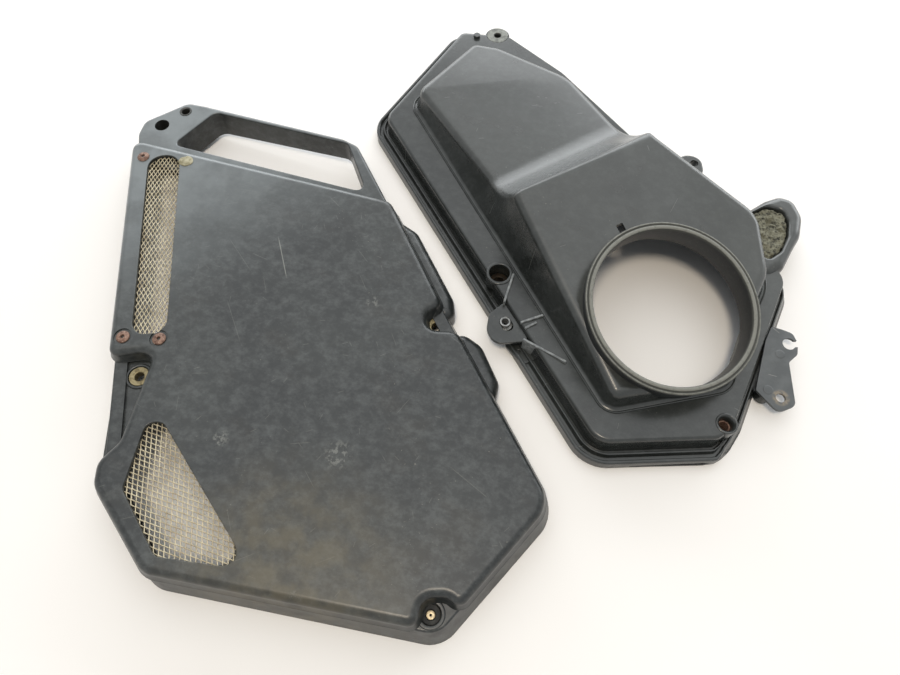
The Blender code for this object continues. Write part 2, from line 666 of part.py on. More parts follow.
def case_body():
    skin = Skin()
    plan, lines = scoop_plan()
    outer = (
        (-FLANGE_OUT, 0), (-FLANGE_OUT, LIP_TOP - 1), (-FLANGE_OUT + 1, LIP_TOP),
        (-GROOVE[0] - 0.4, LIP_TOP),
        (-GROOVE[0], GROOVE_FLOOR), (-GROOVE[1], GROOVE_FLOOR), (-GROOVE[1] + 0.4, LIP_TOP + 1),
        (-GROOVE[1] + 1.9, LIP_TOP + 1), (-GROOVE[1] + 2.3, LIP_TOP - 2), (-3, LIP_TOP - 2),
        (-2, DECK_TOP - 3), (-0.6, DECK_TOP - 0.7), (2, DECK_TOP),
    )
    inner = (
        (-FLANGE_OUT + CASE_WALL, 0), (-FLANGE_OUT + CASE_WALL, GROOVE_FLOOR - CASE_WALL),
        (0, LIP_TOP - 2 - CASE_WALL), (1, DECK_TOP - CASE_WALL - 2), (2, DECK_TOP - CASE_WALL),
    )
    outside = [skin.ring(rounded(DECK, inset), z) for inset, z in outer]
    inside = [skin.ring(rounded(DECK, inset), z) for inset, z in inner]
    skin.wall(*reversed(inside), *outside)
    for shell, rim, foot in ((outside, 0.0, DECK_TOP), (inside, CASE_WALL, DECK_TOP - CASE_WALL)):
        rings = scoop_rings(skin, plan, foot, rim)
        skin.wall(*rings)
        skin.cap(shell[-1], [rings[0]])
        skin.cap(rings[-1], creases=[(rings[-1][a], rings[-1][b]) for a, b in lines])
    made = skin.object("case_body", case_plastic, case)
    ear_levels = ((0, EAR_FOOT), (0, EAR_TOP - 4), (1.2, EAR_TOP - 1.2), (4, EAR_TOP))
    lug_levels = ((0, SIDE_LUG_TOP - SIDE_LUG_THICK), (0, SIDE_LUG_TOP))
    slot_levels = ((0, SLOT_LUG_TOP - SLOT_LUG_THICK), (0, SLOT_LUG_TOP))
    tab = ((TAB_R, DECK_TOP - TAB_DROP - TAB_THICK), (TAB_R, DECK_TOP - TAB_DROP))
    pocket = ((POCKET_R + POCKET_WALL, 5), (POCKET_R + POCKET_WALL, DECK_TOP + 0.8))
    corner = ((CORNER_POCKET_R + POCKET_WALL, 5), (CORNER_POCKET_R + POCKET_WALL, DECK_TOP + 0.6))
    boss = ((BOSS_R, BOSS_FOOT), (BOSS_R, BRACKET_TOP - BRACKET_THICK - GAP))
    add(
        made,
        solid("ear", ear_levels, EAR, parent=case),
        solid("side_lug", lug_levels, SIDE_LUG, parent=case),
        solid("slot_lug", slot_levels, SLOT_LUG, parent=case),
        turned("tab", tab, TAB_AT, parent=case),
        turned("pocket_boss", pocket, POCKET_AT, parent=case),
        turned("corner_pocket_boss", corner, CORNER_POCKET_AT, parent=case),
    )
    for i, (a, b, low, high) in enumerate(FINS):
        add(made, fin(f"fin_{i}", a, b, low, high))
    for i, at in enumerate(BRACKET_RIVETS):
        add(made, turned(f"bracket_boss_{i}", boss, at, parent=case))
    tab_cut = (
        (TAB_BORE, 0), (TAB_BORE, WASHER_SEAT), (WASHER_R + GAP, WASHER_SEAT),
        (WASHER_R + GAP, DECK_TOP + THROUGH),
    )
    lug_cut = ((TAB_BORE, 0), (TAB_BORE, SIDE_LUG_TOP + THROUGH))
    pocket_cut = (
        (BUSH_R + FIT, -1), (BUSH_R + FIT, POCKET_FLOOR), (POCKET_R, POCKET_FLOOR),
        (POCKET_R, DECK_TOP + THROUGH),
    )
    corner_cut = (
        (INSERT_R + FIT, -1), (INSERT_R + FIT, POCKET_FLOOR + 1), (CORNER_POCKET_R, POCKET_FLOOR + 1),
        (CORNER_POCKET_R, DECK_TOP + THROUGH),
    )
    boss_cut = (
        (RIVET_SHANK + RIVET_CLEAR, BOSS_FOOT + BOSS_BLIND), (RIVET_SHANK + RIVET_CLEAR, BRACKET_TOP + THROUGH),
    )
    mouth = ((COLLAR_NECK + FIT, -MOUTH_CUT), (COLLAR_NECK + FIT, MOUTH_CUT))
    recess = ((0, EAR_RECESS_FLOOR), (0, EAR_TOP + THROUGH))
    cut(
        made,
        turned("mouth_cut", mouth, collar_seat(), parent=case, count=40, tilt=collar_tilt()),
        turned("tab_cut", tab_cut, TAB_AT, parent=case),
        turned("side_lug_cut", lug_cut, SIDE_LUG_AT, parent=case),
        turned("pocket_cut", pocket_cut, POCKET_AT, parent=case),
        turned("corner_pocket_cut", corner_cut, CORNER_POCKET_AT, parent=case),
        solid("recess_cut", recess, EAR_RECESS, parent=case),
        solid("ear_hollow", ((0, 0), (0, EAR_RECESS_FLOOR - CASE_WALL)), EAR_HOLLOW, parent=case),
        slotted("slot_cut_case", SLOT_LUG_TOP - 6.5, SLOT_LUG_TOP + 3),
        solid(
            "clip_cut", ((0, LOW_TOP - THROUGH), (0, CREASE_TOP + THROUGH)),
            square(CLIP_AT, CLIP_WIDE, CLIP_LONG, CLIP_TURN), parent=case,
        ),
    )
    for i, at in enumerate(BRACKET_RIVETS):
        cut(made, turned(f"boss_cut_{i}", boss_cut, at, parent=case, count=12))
    return made


def square(at, wide, long, turn):
    """Corners of a small turned rectangle with softened corners."""
    spin = Matrix.Rotation(math.radians(turn), 2)
    half = ((-wide / 2, -long / 2), (wide / 2, -long / 2), (wide / 2, long / 2), (-wide / 2, long / 2))
    return [(*(spin @ Vector(p) + Vector(at)), 0.8) for p in half]


def fin(name, a, b, low, high):
    """A thin upright rib between two points."""
    a, b = Vector(a), Vector(b)
    way = (b - a).normalized()
    side = FIN / 2 * Vector((-way.y, way.x))
    skin = Skin()
    rings = [skin.ring((a - side, b - side, b + side, a + side), z) for z in (low, high)]
    skin.wall(*rings)
    skin.cap(rings[0])
    skin.cap(rings[1])
    return skin.object(name, None, case)


def slotted(name, low, high):
    """A slot with round ends, as long as the sleeve's travel."""
    way = Vector(SLOT_WAY).normalized()
    start = math.atan2(way.y, way.x)
    radius = SLEEVE_R + FIT
    points = []
    for k in range(18):
        far = k < 9
        angle = start - math.pi / 2 + math.pi * (k if far else k - 1) / 8
        end = Vector(SLOT_LUG_AT) + (way * SLOT_TRAVEL if far else Vector((0, 0)))
        points.append(end + radius * Vector((math.cos(angle), math.sin(angle))))
    skin = Skin()
    rings = [skin.ring(points, z) for z in (low, high)]
    skin.wall(*rings)
    skin.cap(rings[0])
    skin.cap(rings[1])
    return skin.object(name, None, case)


def collar_seat():
    """Centre of the collar on the tilted face of the scoop."""
    return (*COLLAR_AT, scoop_top(*COLLAR_AT))


def collar_tilt():
    axis = Vector((ACROSS[1], -ACROSS[0], 0)) * -1
    return Matrix.Rotation(math.atan(TILT), 4, axis)


def case_seal():
    """Rubber strip under the flange, lying against its outer lip all the way round."""
    skin = Skin()
    out = -FLANGE_OUT + CASE_WALL + SEAL_CLEAR
    into = out + SEAL_WIDE
    high = GROOVE_FLOOR - CASE_WALL - GAP
    levels = (
        (out, SEAL_FOOT), (out, high), (into, high), (into, SEAL_FOOT + 0.6), (into - 0.6, SEAL_FOOT),
    )
    rings = [skin.ring(rounded(DECK, inset), z) for inset, z in levels]
    skin.wall(*rings, rings[0])
    return skin.object("case_seal", seal_rubber, case)


for old in list(bpy.data.objects):
    bpy.data.objects.remove(old)

cover_plastic = material("cover_plastic", (0.036, 0.038, 0.038), 0.5)
case_plastic = material("case_plastic", (0.028, 0.03, 0.03), 0.35)
mesh_wire = material("mesh_wire", (0.36, 0.32, 0.24), 0.5, 0.6)
backing_steel = material("backing_steel", (0.1, 0.1, 0.1), 0.5, 0.8)
rivet_steel = material("rivet_steel", (0.16, 0.07, 0.045), 0.6, 0.5)
bush_brass = material("bush_brass", (0.4, 0.33, 0.19), 0.4, 1.0)
washer_steel = material("washer_steel", (0.3, 0.3, 0.29), 0.5, 0.8)
seal_rubber = material("seal_rubber", (0.014, 0.014, 0.014), 0.7)
collar_rubber = material("collar_rubber", (0.05, 0.05, 0.047), 0.65)
bracket_steel = material("bracket_steel", (0.045, 0.045, 0.048), 0.5, 0.6)
filter_paper = material("filter_paper", (0.62, 0.5, 0.3), 0.9)
filter_plastic = material("filter_plastic", (0.03, 0.03, 0.03), 0.5)
sealant = material("sealant", (0.55, 0.5, 0.36), 0.7)
foam = material("foam", (0.24, 0.23, 0.16), 0.95)

cover = empty("cover", COVER_AT)
case = empty("case", CASE_AT)

cover_panel()
cover_carrier()
wire_mesh("upper_mesh", UPPER_WINDOW, UPPER_MESH_TURN, UPPER_MESH_LAP)
wire_mesh("lower_mesh", LOWER_WINDOW, LOWER_MESH_TURN, LOWER_MESH_LAP)
backing_levels = ((0, BACKING_TOP - BACKING_THICK), (0, BACKING_TOP))
rivet_holes = [circle(at, RIVET_SHANK + RIVET_CLEAR, 12) for at in RIVETS]
solid("upper_backing", backing_levels, UPPER_BACKING, backing_steel, cover, rivet_holes)
lower_lap = tuple((-LOWER_BACKING_LAP, z) for _, z in backing_levels)
solid("lower_backing", lower_lap, LOWER_WINDOW, backing_steel, cover, [rounded(LOWER_WINDOW)])
for number, place in enumerate(RIVETS, 1):
    blind_rivet(f"rivet_{number}", place)
dab = PANEL_TOP + GAP / 3
turned(
    "sealant_dab",
    (
        (RIVET_SHANK, PANEL_UNDER), (RIVET_SHANK, dab), (DAB_R, dab), (0.875 * DAB_R, dab + 0.57 * DAB_TALL),
        (0.4 * DAB_R, dab + DAB_TALL),
    ),
    SEALANT_AT, sealant, cover, 12,
)
bush("left_bush", LEFT_BUSH_AT)
bush("right_bush", RIGHT_BUSH_AT)
turned(
    "loop_insert",
    (
        (INSERT_BORE, LOOP_TOP - INSERT_DEEP + GAP), (INSERT_R, LOOP_TOP - INSERT_DEEP + GAP),
        (INSERT_R, LOOP_TOP + INSERT_PROUD), (INSERT_BORE + INSERT_LEAD, LOOP_TOP + INSERT_PROUD),
        (INSERT_BORE, LOOP_TOP + INSERT_PROUD - INSERT_LEAD),
    ),
    INSERT_AT, washer_steel, cover, hollow=True,
)
grommet_in = SLEEVE_BORE + SLEEVE_WALL + FIT
turned(
    "corner_grommet",
    (
        (grommet_in, GROMMET_FOOT), (GROMMET_NECK, GROMMET_FOOT), (GROMMET_NECK, CORNER_SEAT + GAP),
        (GROMMET_R, CORNER_SEAT + GAP), (GROMMET_R, CORNER_SEAT + 0.75 * GROMMET_PROUD),
        (GROMMET_R - 0.25 * GROMMET_PROUD, CORNER_SEAT + GROMMET_PROUD),
        (grommet_in, CORNER_SEAT + GROMMET_PROUD),
    ),
    CORNER_AT, seal_rubber, cover, hollow=True,
)
turned(
    "corner_sleeve",
    (
        (SLEEVE_BORE, GROMMET_FOOT - 1), (SLEEVE_BORE + SLEEVE_WALL, GROMMET_FOOT - 1),
        (SLEEVE_BORE + SLEEVE_WALL, CORNER_SEAT + 1.1 * GROMMET_PROUD),
        (SLEEVE_BORE, CORNER_SEAT + 1.1 * GROMMET_PROUD),
    ),
    CORNER_AT, washer_steel, cover, hollow=True,
)
frame_ring(
    "filter_frame", ELEMENT_LONG, ELEMENT_WIDE, ELEMENT_WALL, ELEMENT_BOTTOM, ELEMENT_TOP, filter_plastic
)
frame_ring(
    "filter_seal", ELEMENT_LONG, ELEMENT_WIDE, ELEMENT_WALL + 1, ELEMENT_BOTTOM - GAP - ELEMENT_SEAL,
    ELEMENT_BOTTOM - GAP, seal_rubber,
)
pleated_paper()

case_body()
case_seal()
turned(
    "intake_collar",
    (
        (COLLAR_IN, -COLLAR_DEEP), (COLLAR_NECK, -COLLAR_DEEP), (COLLAR_NECK, GAP),
        (COLLAR_NECK + COLLAR_RIM / 2, GAP), (COLLAR_NECK + COLLAR_RIM / 2, COLLAR_TALL - COLLAR_RIM),
        (COLLAR_OUT, COLLAR_TALL - 2.5), (COLLAR_OUT, COLLAR_TALL - 0.8),
        (COLLAR_OUT - 1, COLLAR_TALL), (COLLAR_IN + 1.5, COLLAR_TALL), (COLLAR_IN, COLLAR_TALL - 1),
    ),
    collar_seat(), collar_rubber, case, 40, True, collar_tilt(),
)
washer = ((TAB_BORE, 0), (WASHER_R, 0), (WASHER_R, WASHER_THICK), (TAB_BORE, WASHER_THICK))
turned("tab_washer", washer, (*TAB_AT, WASHER_SEAT + GAP / 3), washer_steel, case, hollow=True)
turned(
    "pocket_bush",
    (
        (BUSH_BORE, BUSH_FOOT), (BUSH_R, BUSH_FOOT), (BUSH_R, POCKET_FLOOR + GAP),
        (BUSH_FLANGE, POCKET_FLOOR + GAP), (BUSH_FLANGE, POCKET_FLOOR + GAP + BUSH_LIP),
        (BUSH_BORE, POCKET_FLOOR + GAP + BUSH_LIP),
    ),
    POCKET_AT, bush_brass, case, hollow=True,
)
insert_top = POCKET_FLOOR + 1 + INSERT_PROUD
turned(
    "corner_insert",
    (
        (INSERT_BORE, BUSH_FOOT), (INSERT_R, BUSH_FOOT), (INSERT_R, insert_top),
        (INSERT_BORE + INSERT_LEAD, insert_top), (INSERT_BORE, insert_top - INSERT_LEAD),
    ),
    CORNER_POCKET_AT, bush_brass, case, hollow=True,
)
plate_under = SLOT_LUG_TOP - SLOT_LUG_THICK
turned(
    "lug_sleeve",
    (
        (SLEEVE_IN, plate_under - SLEEVE_DEEP), (SLEEVE_R + SLEEVE_FOOT, plate_under - SLEEVE_DEEP),
        (SLEEVE_R + SLEEVE_FOOT, plate_under - GAP), (SLEEVE_R, plate_under - GAP),
        (SLEEVE_R, SLOT_LUG_TOP + SLEEVE_PROUD), (SLEEVE_IN, SLOT_LUG_TOP + SLEEVE_PROUD),
    ),
    SLOT_LUG_AT, bush_brass, case, hollow=True,
)
solid(
    "steel_bracket", ((0, BRACKET_TOP - BRACKET_THICK), (0, BRACKET_TOP)), BRACKET, bracket_steel, case,
    [circle(BRACKET_HOLE[:2], BRACKET_HOLE[2])]
    + [circle(at, RIVET_SHANK + RIVET_CLEAR, 12) for at in BRACKET_RIVETS],
)
for number, place in enumerate(BRACKET_RIVETS, 1):
    turned(
        f"bracket_rivet_{number}",
        (
            (RIVET_SHANK, BOSS_FOOT + BOSS_BLIND + 0.5), (RIVET_SHANK, BRACKET_TOP + GAP / 3),
            (BRACKET_RIVET, BRACKET_TOP + GAP / 3),
            (0.8 * BRACKET_RIVET, BRACKET_TOP + 0.75 * BRACKET_RIVET_TALL),
            (1, BRACKET_TOP + BRACKET_RIVET_TALL),
        ),
        place, washer_steel, case, 12,
    )
pad_levels = ((PAD_CLEAR, EAR_RECESS_FLOOR + GAP), (PAD_CLEAR, PAD_TOP - 0.6), (PAD_CLEAR + 1, PAD_TOP))
solid("foam_pad", pad_levels, EAR_RECESS, foam, case)

# The pair is centred over the origin with its lowest point on the ground
bpy.context.view_layer.update()
depsgraph = bpy.context.evaluated_depsgraph_get()
reach = [
    made.matrix_world @ vertex.co
    for made in bpy.data.objects if made.type == "MESH" and not made.hide_render
    for vertex in made.evaluated_get(depsgraph).data.vertices
]
for half in (cover, case):
    for axis in (0, 1):
        ends = [p[axis] for p in reach]
        half.location[axis] -= (min(ends) + max(ends)) / 2
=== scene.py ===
import math

import bmesh
import bpy
from mathutils import Matrix, Vector, noise


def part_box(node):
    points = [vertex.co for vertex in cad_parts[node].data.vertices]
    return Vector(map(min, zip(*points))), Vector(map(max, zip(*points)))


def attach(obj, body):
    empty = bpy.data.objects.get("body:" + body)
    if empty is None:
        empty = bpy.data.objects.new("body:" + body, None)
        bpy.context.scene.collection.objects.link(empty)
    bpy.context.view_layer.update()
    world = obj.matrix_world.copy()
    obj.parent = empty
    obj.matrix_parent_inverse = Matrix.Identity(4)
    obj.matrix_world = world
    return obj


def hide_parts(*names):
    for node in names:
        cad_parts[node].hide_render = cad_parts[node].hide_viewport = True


# Looks of a motorcycle's air-filter box, taken apart: the outer cover with its two wire-mesh inlets on the
# left, the inner case with the intake collar on the right, both rim down on a white sheet.
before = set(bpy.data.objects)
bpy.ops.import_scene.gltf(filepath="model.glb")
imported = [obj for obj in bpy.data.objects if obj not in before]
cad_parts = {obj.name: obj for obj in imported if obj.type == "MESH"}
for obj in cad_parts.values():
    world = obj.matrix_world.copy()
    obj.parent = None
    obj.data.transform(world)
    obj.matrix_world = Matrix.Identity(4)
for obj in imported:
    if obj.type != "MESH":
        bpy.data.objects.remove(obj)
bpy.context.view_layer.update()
MM = 0.001

# Outlines as (x, y, corner radius) in millimetres, anticlockwise from above, each in its own half's frame
PANEL = [
    (-161.5, 168.5, 8.2), (-136, -29.5, 7), (-104, -25, 9), (-114, -90, 10), (-125.5, -104, 11),
    (-124.5, -119, 11.5), (-83, -171.5, 14), (82, -201.7, 7), (83, -185.5, 7.8), (98, -185, 7.5),
    (106, -191.5, 6.7), (163, -130, 18), (105.4, -9.5, 9.5), (84, -8.5, 8), (83, 5, 7), (95, 12, 6.6),
    (54, 104.5, 11),
]
UPPER_WINDOW = [(-143.5, 149, 12), (-122, -14, 10), (-98, -12, 10), (-118, 149, 12)]
LOWER_WINDOW = [(-98, -78, 7), (-104, -122, 5), (-76, -162, 6), (-18, -170, 9), (-87, -78, 7)]
CARRIER = [
    (-159, 163, 5), (-135, -28, 30), (-123.5, -109, 12), (-82, -171, 14), (93, -204, 14), (163, -130, 18),
    (52, 100, 5),
]
LOOP = [
    (-156, 159, 2), (50, 98, 2), (51.5, 104, 3), (24, 163, 9), (12, 170.5, 12), (-108, 207.5, 10),
    (-124, 211.5, 9), (-157, 190, 9), (-159.5, 176, 12),
]
SLOT = [(-128, 164, 5), (34, 114, 6), (16, 165, 8), (-99, 200, 8)]
LOBE_1 = [(45, 92, 2), (86, 9, 2), (97, 5, 4), (104, 11, 6), (103, 23, 12), (75, 84, 12), (58, 97, 6)]
LOBE_2 = [(90, -20, 2), (116, -76, 2), (131, -60, 4), (134.5, -44, 9), (123, -15, 13), (108, -3, 9)]
LEFT_LUG = [
    (-127, -106, 3), (-113, -98, 4), (-100, -58, 4), (-100, -22, 4), (-134, -22, 4), (-131, -58, 20),
]
RIGHT_LUG = [(87.3, -16.7, 4), (103.5, -9, 2), (92.2, 14.5, 2), (76, 6.7, 4)]
RIVETS = ((-147, 147), (-127.5, -15.5), (-102, -17))
SEALANT_AT = (-112, 142.5)
PLAIN_HOLE = (-141, 185)
INSERT_AT = (-124, 200.5)
LEFT_BUSH_AT = (-116, -40)
RIGHT_BUSH_AT = (90, -1)
CORNER_AT = (88.5, -193)
CORNER_FLOOR = [(74, -197.5, 2), (92, -200.5, 8), (113, -181, 2), (104, -172, 4), (76, -172, 4)]
DECK = [
    (-153, 101, 12), (-2, -187, 14), (81, -184, 12), (93, -168, 14), (148, -64, 12), (134, -22, 20),
    (64, 60, 30), (0, 153, 40), (-46, 200, 8), (-88, 205, 5),
]
SCOOP = [
    (-130, 113, 13), (6, -166, 10), (90, -150, 13), (97, -128, 20), (130, -70, 24), (130, -22, 25),
    (54, 43, 40), (3, 129, 40), (-56, 166, 14), (-80, 172, 10),
]
SIDE_LUG = [(90, 23, 2), (109, 44, 9), (109, 59, 9), (97, 62, 9), (72, 50.5, 2)]
SLOT_LUG = [
    (-60, -80.5, 2.5), (-71.5, -90, 10), (-74, -104, 10), (-68, -114.5, 9), (-44, -112.5, 2.5),
    (-50.5, -90, 12),
]
LOW_PLATE = [(-62, -108, 3), (-47.5, -126, 4), (-33, -119, 2), (-45, -106, 2)]
LOW_PLATE_HOLE = (-50.5, -115.5)
EAR = [
    (100, -14, 8), (134, -62, 8), (150, -54, 8.5), (161, -37, 12), (169.5, -25, 20), (175.5, -7, 14),
    (172, 9.5, 10), (161, 14, 9), (149, 9.5, 9), (131, -2, 8), (110, -7, 8),
]
EAR_RECESS = [
    (129, -30, 4), (138, -48, 4), (150, -40, 8), (158.5, -26, 12), (162, -13, 10), (160, -1.5, 7),
    (148, 2.5, 7), (127, -8, 5),
]
BRACKET = [
    (113, -148, 2), (125, -165, 6), (138, -160, 5), (141, -127, 3), (148.5, -121, 4), (151, -112, 3),
    (149, -104, 4), (143, -101, 3), (135, -98, 2), (128, -110, 2),
]
TAB_AT = (-56, 202)
SIDE_LUG_AT = (102, 52)
SLOT_LUG_AT = (-60, -97)
SLOT_WAY = (0.46, -0.888)
POCKET_AT = (-63, -58)
CORNER_POCKET_AT = (84, -176)
CLIP_AT = (21, -45)
COLLAR_AT = (48.5, -102.8)
BRACKET_HOLE = (129, -154)
BRACKET_RIVETS = ((121.5, -148), (136, -120.5))
HOOK_AT = (144.5, -112.3)
STUB_AT = (-75.1, 199.9)
# Thin ribs beside the slotted lug: two ends, foot height, and the top's height at each end
FINS = (
    ((-53, -60), (-60.5, -83), 8, (26, 24)), ((-48, -112.5), (-19.5, -131.7), 5, (22.6, 25.4)),
    ((-49.4, -100), (-33, -94.3), 17, (24.4, 25)), ((-46.5, -104.5), (-38, -100), 17, (24, 24.6)),
)

# Marks on the panel: scuffs as (place, reach), and the ends of straight marks
SCUFFS = (((-48, -89), 6), ((29, -100), 10), ((45, 12), 5), ((10, -185), 4))
RUBBED_AT = (-50, 103)
# Middle of the warm brown tone near the lower edge
BROWN_TONE_AT = (0, -178)
LONG_SCRATCH = ((-29.6, 70.4), (-18.3, 30.5))
# Ends of the pale line along the top edge, partly wear and partly painted highlight, and of the painted
# highlight along the left edge
TOP_EDGE = ((-163, 166), (56, 101))
LEFT_EDGE_HIGHLIGHT = ((-160.4, 172), (-134, -36))
# Way along which the painted sheen grows, lighter towards the upper left
PAINTED_SHEEN_WAY = (-0.6, 0.8, 0.0)

# Heights, walls and radii in millimetres
PANEL_TOP = 32
PANEL_WALL = 2.5
PANEL_ROLL = 6
SKIRT_FOOT = 21
SKIRT_FLARE = 2
WINDOW_FLARE = 0.7
COUNTERBORE_R = 6.4
COUNTERBORE_DEPTH = 1.1
RIDGE_WIDE = 6
LEDGE_TOP = 20.7
TRAY_FLARE = 6
TRAY_WALL = 2.6
TRAY_RIM = 9
LOOP_TOP = 28.5
LOOP_ROLL = 3
LOOP_SLOT_FLARE = 1.4
PLAIN_HOLE_R = 6
LOBE_ROLL = 8
LUG_TOP = 18.6
LUG_THICK = 4.5
SCREW_R = 3.3
BUSH_R = 5
BUSH_COLLAR_R = 7
BUSH_GAP = 0.1
RIVET_SUNK = 0.9
DECK_TOP = 23
CASE_WALL = 2.6
SCOOP_EDGE = 7
SCOOP_LEAN = 9
SCOOP_LEAN_AT = (-86, 20)
SCOOP_LEAN_REACH = 60
SCOOP_DRAFT = 0.17
CREASE_AT = (-54, -23)
CREASE_TOP = 73
CREASE_BLEND = 3.0
LOW_TOP = 43
RAMP = 44
TILT = 0.226
ACROSS = (0.486, -0.874)
MOUTH_R = 57.2
EAR_TOP = 27
EAR_ROLL = 7.5
EAR_FLOOR = 19
EAR_FLARE = 3
WASHER_SEAT = 21.4
WASHER_R = 9.6
WASHER_GAP = 0.3
SLOT_TRAVEL = 3.6
SLOT_HALF = 4.05
FIN_HALF = 0.8
BRACKET_TOP = 14
BRACKET_THICK = 2
BRACKET_RIVET_R = 2.4
MESH_Z = 28.7
MESH_WIRE = 1.15
MESH_RISE = 0.22
# A cutter's flared top stands this far past the face that it opens
PROUD = 0.02
# The weave's two directions as steps from crossing to crossing, in millimetres
UPPER_WEAVE = ((2.0, -2.9), (1.2, 2.9))
LOWER_WEAVE = ((3.37, -1.15), (-0.43, 3.32))


def half_at(node, at):
    """Zero point of a half in the frame, from a node whose place in that half is known."""
    low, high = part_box(node)
    return Vector(((low.x + high.x) / 2 - at[0] * MM, (low.y + high.y) / 2 - at[1] * MM, 0))


cover_at = half_at("left_bush", LEFT_BUSH_AT)
case_at = half_at("tab_washer", TAB_AT)


# Shapes
def outline(corners, finer=1):
    """A flat face with rounded corners; finer gives its arcs more segments."""
    bm = bmesh.new()
    verts = [bm.verts.new(Vector((x, y, 0)) * MM) for x, y, _ in corners]
    bm.faces.new(verts)
    for i, (vert, corner) in enumerate(zip(verts, corners)):
        after = corners[(i + 1) % len(corners)]
        a = Vector(corner[:2]) - Vector(corners[i - 1][:2])
        b = Vector(after[:2]) - Vector(corner[:2])
        turn = a.angle(b)
        bmesh.ops.bevel(
            bm, geom=[vert], offset=corner[2] * math.tan(turn / 2) * MM, offset_type="OFFSET",
            segments=max(3, round(math.degrees(turn) / 9 * finer)), profile=0.5, affect="VERTICES",
            clamp_overlap=False, material=-1,
        )
    bm.normal_update()
    return bm


def inward(bm):
    """For each rim vertex of a flat mesh, the step that takes it one unit inside the rim."""
    sides = {}
    for edge in bm.edges:
        if edge.is_boundary:
            loop = edge.link_loops[0]
            way = (loop.link_loop_next.vert.co - loop.vert.co).normalized()
            for vert in edge.verts:
                sides.setdefault(vert, []).append(Vector((-way.y, way.x, 0)))
    return {vert: (a + b) / (1 + a.dot(b)) for vert, (a, b) in sides.items()}


def raised(bm, rings, foot=True):
    """Draws a flat outline up through rings; each ring is (inset, height), or a rule that gives both."""
    plan = {vert: (Vector((vert.co.x, vert.co.y, 0)), step) for vert, step in inward(bm).items()}
    tops = list(bm.faces)
    for number, ring in enumerate(rings):
        if number:
            made = bmesh.ops.extrude_face_region(bm, geom=tops)["geom"]
            if number > 1 or not foot:
                bmesh.ops.delete(bm, geom=tops, context="FACES_ONLY")
            tops = [g for g in made if isinstance(g, bmesh.types.BMFace)]
            known = {tuple(vert.co): spot for vert, spot in plan.items()}
            plan = {g: known[tuple(g.co)] for g in made if isinstance(g, bmesh.types.BMVert)}
        for vert, (spot, step) in plan.items():
            inset, height = ring(spot / MM, step) if callable(ring) else ring
            vert.co = spot + (step * inset + Vector((0, 0, height))) * MM
    return bm


def quarter(radius, inset, height, steps=5, start=0):
    """Rings of a rolled edge that turns from a wall at that inset into a flat top at that height."""
    turns = [math.radians(start + (90 - start) * k / steps) for k in range(steps + 1)]
    return [
        (inset + radius * (1 - math.cos(t)), height - radius * (1 - math.sin(t))) for t in turns
    ]


def grown(corners, by):
    """The same outline moved outwards; round corners that stick out grow with it, hollow ones shrink."""
    out = []
    for i, (x, y, radius) in enumerate(corners):
        before, after = Vector(corners[i - 1][:2]), Vector(corners[(i + 1) % len(corners)][:2])
        a, b = (Vector((x, y)) - before).normalized(), (after - Vector((x, y))).normalized()
        na, nb = Vector((a.y, -a.x)), Vector((b.y, -b.x))
        spot = Vector((x, y)) + (na + nb) * (by / (1 + na.dot(nb)))
        side = 1 if a.cross(b) > 0 else -1
        out.append((spot.x, spot.y, max(radius + side * by, 0.6)))
    return out


def linked(name, bm, at):
    """Makes the object of a finished mesh, moved to its half."""
    bmesh.ops.translate(bm, verts=bm.verts, vec=at)
    bmesh.ops.remove_doubles(bm, verts=bm.verts, dist=1e-6)
    bmesh.ops.recalc_face_normals(bm, faces=bm.faces)
    mesh = bpy.data.meshes.new(name)
    bm.to_mesh(mesh)
    bm.free()
    made = bpy.data.objects.new(name, mesh)
    bpy.context.scene.collection.objects.link(made)
    return made


def settle(made):
    """Applies the modifiers of an object."""
    bpy.context.view_layer.update()
    mesh = bpy.data.meshes.new_from_object(made.evaluated_get(bpy.context.evaluated_depsgraph_get()))
    made.modifiers.clear()
    made.data = mesh
    mesh.name = made.name
    return made


def modify(made, kind, **settings):
    """Adds a modifier with its settings."""
    modifier = made.modifiers.new(kind.lower(), kind)
    for key, value in settings.items():
        setattr(modifier, key, value)


def carve(made, *cutters):
    """Cuts the cutters out of an object and removes them."""
    for cutter in cutters:
        modify(made, "BOOLEAN", object=cutter, operation="DIFFERENCE", solver="EXACT")
    settle(made)
    for cutter in cutters:
        bpy.data.objects.remove(cutter)
    return made


def thicken(made, thick):
    """Gives an open skin a wall on its inner side."""
    modify(made, "SOLIDIFY", thickness=thick * MM, offset=-1, use_even_offset=True)
    return settle(made)


def soften(made, width=0.5, angle=34, segments=3):
    """Small moulded radius on every edge, and flats that stay flat."""
    made.data.shade_smooth()
    modify(
        made, "BEVEL", width=width * MM, segments=segments, limit_method="ANGLE",
        angle_limit=math.radians(angle), profile=0.5, harden_normals=False,
    )
    modify(made, "WEIGHTED_NORMAL", weight=60, keep_sharp=True)
    return made


def prism(name, corners, low, high, at, edge=0, flare=0):
    """An upright block; edge rolls its top rim inwards, flare widens its top like a rounded mouth."""
    if flare:
        turns = [math.radians(a) for a in (90, 72, 54, 36, 18, 0)]
        rings = [(-flare * (1 - math.sin(t)), high - flare * (1 - math.cos(t))) for t in turns]
    elif edge:
        rings = quarter(edge, 0, high)
    else:
        rings = [(0, high)]
    return linked(name, raised(outline(corners), [(0, low), *rings]), at)


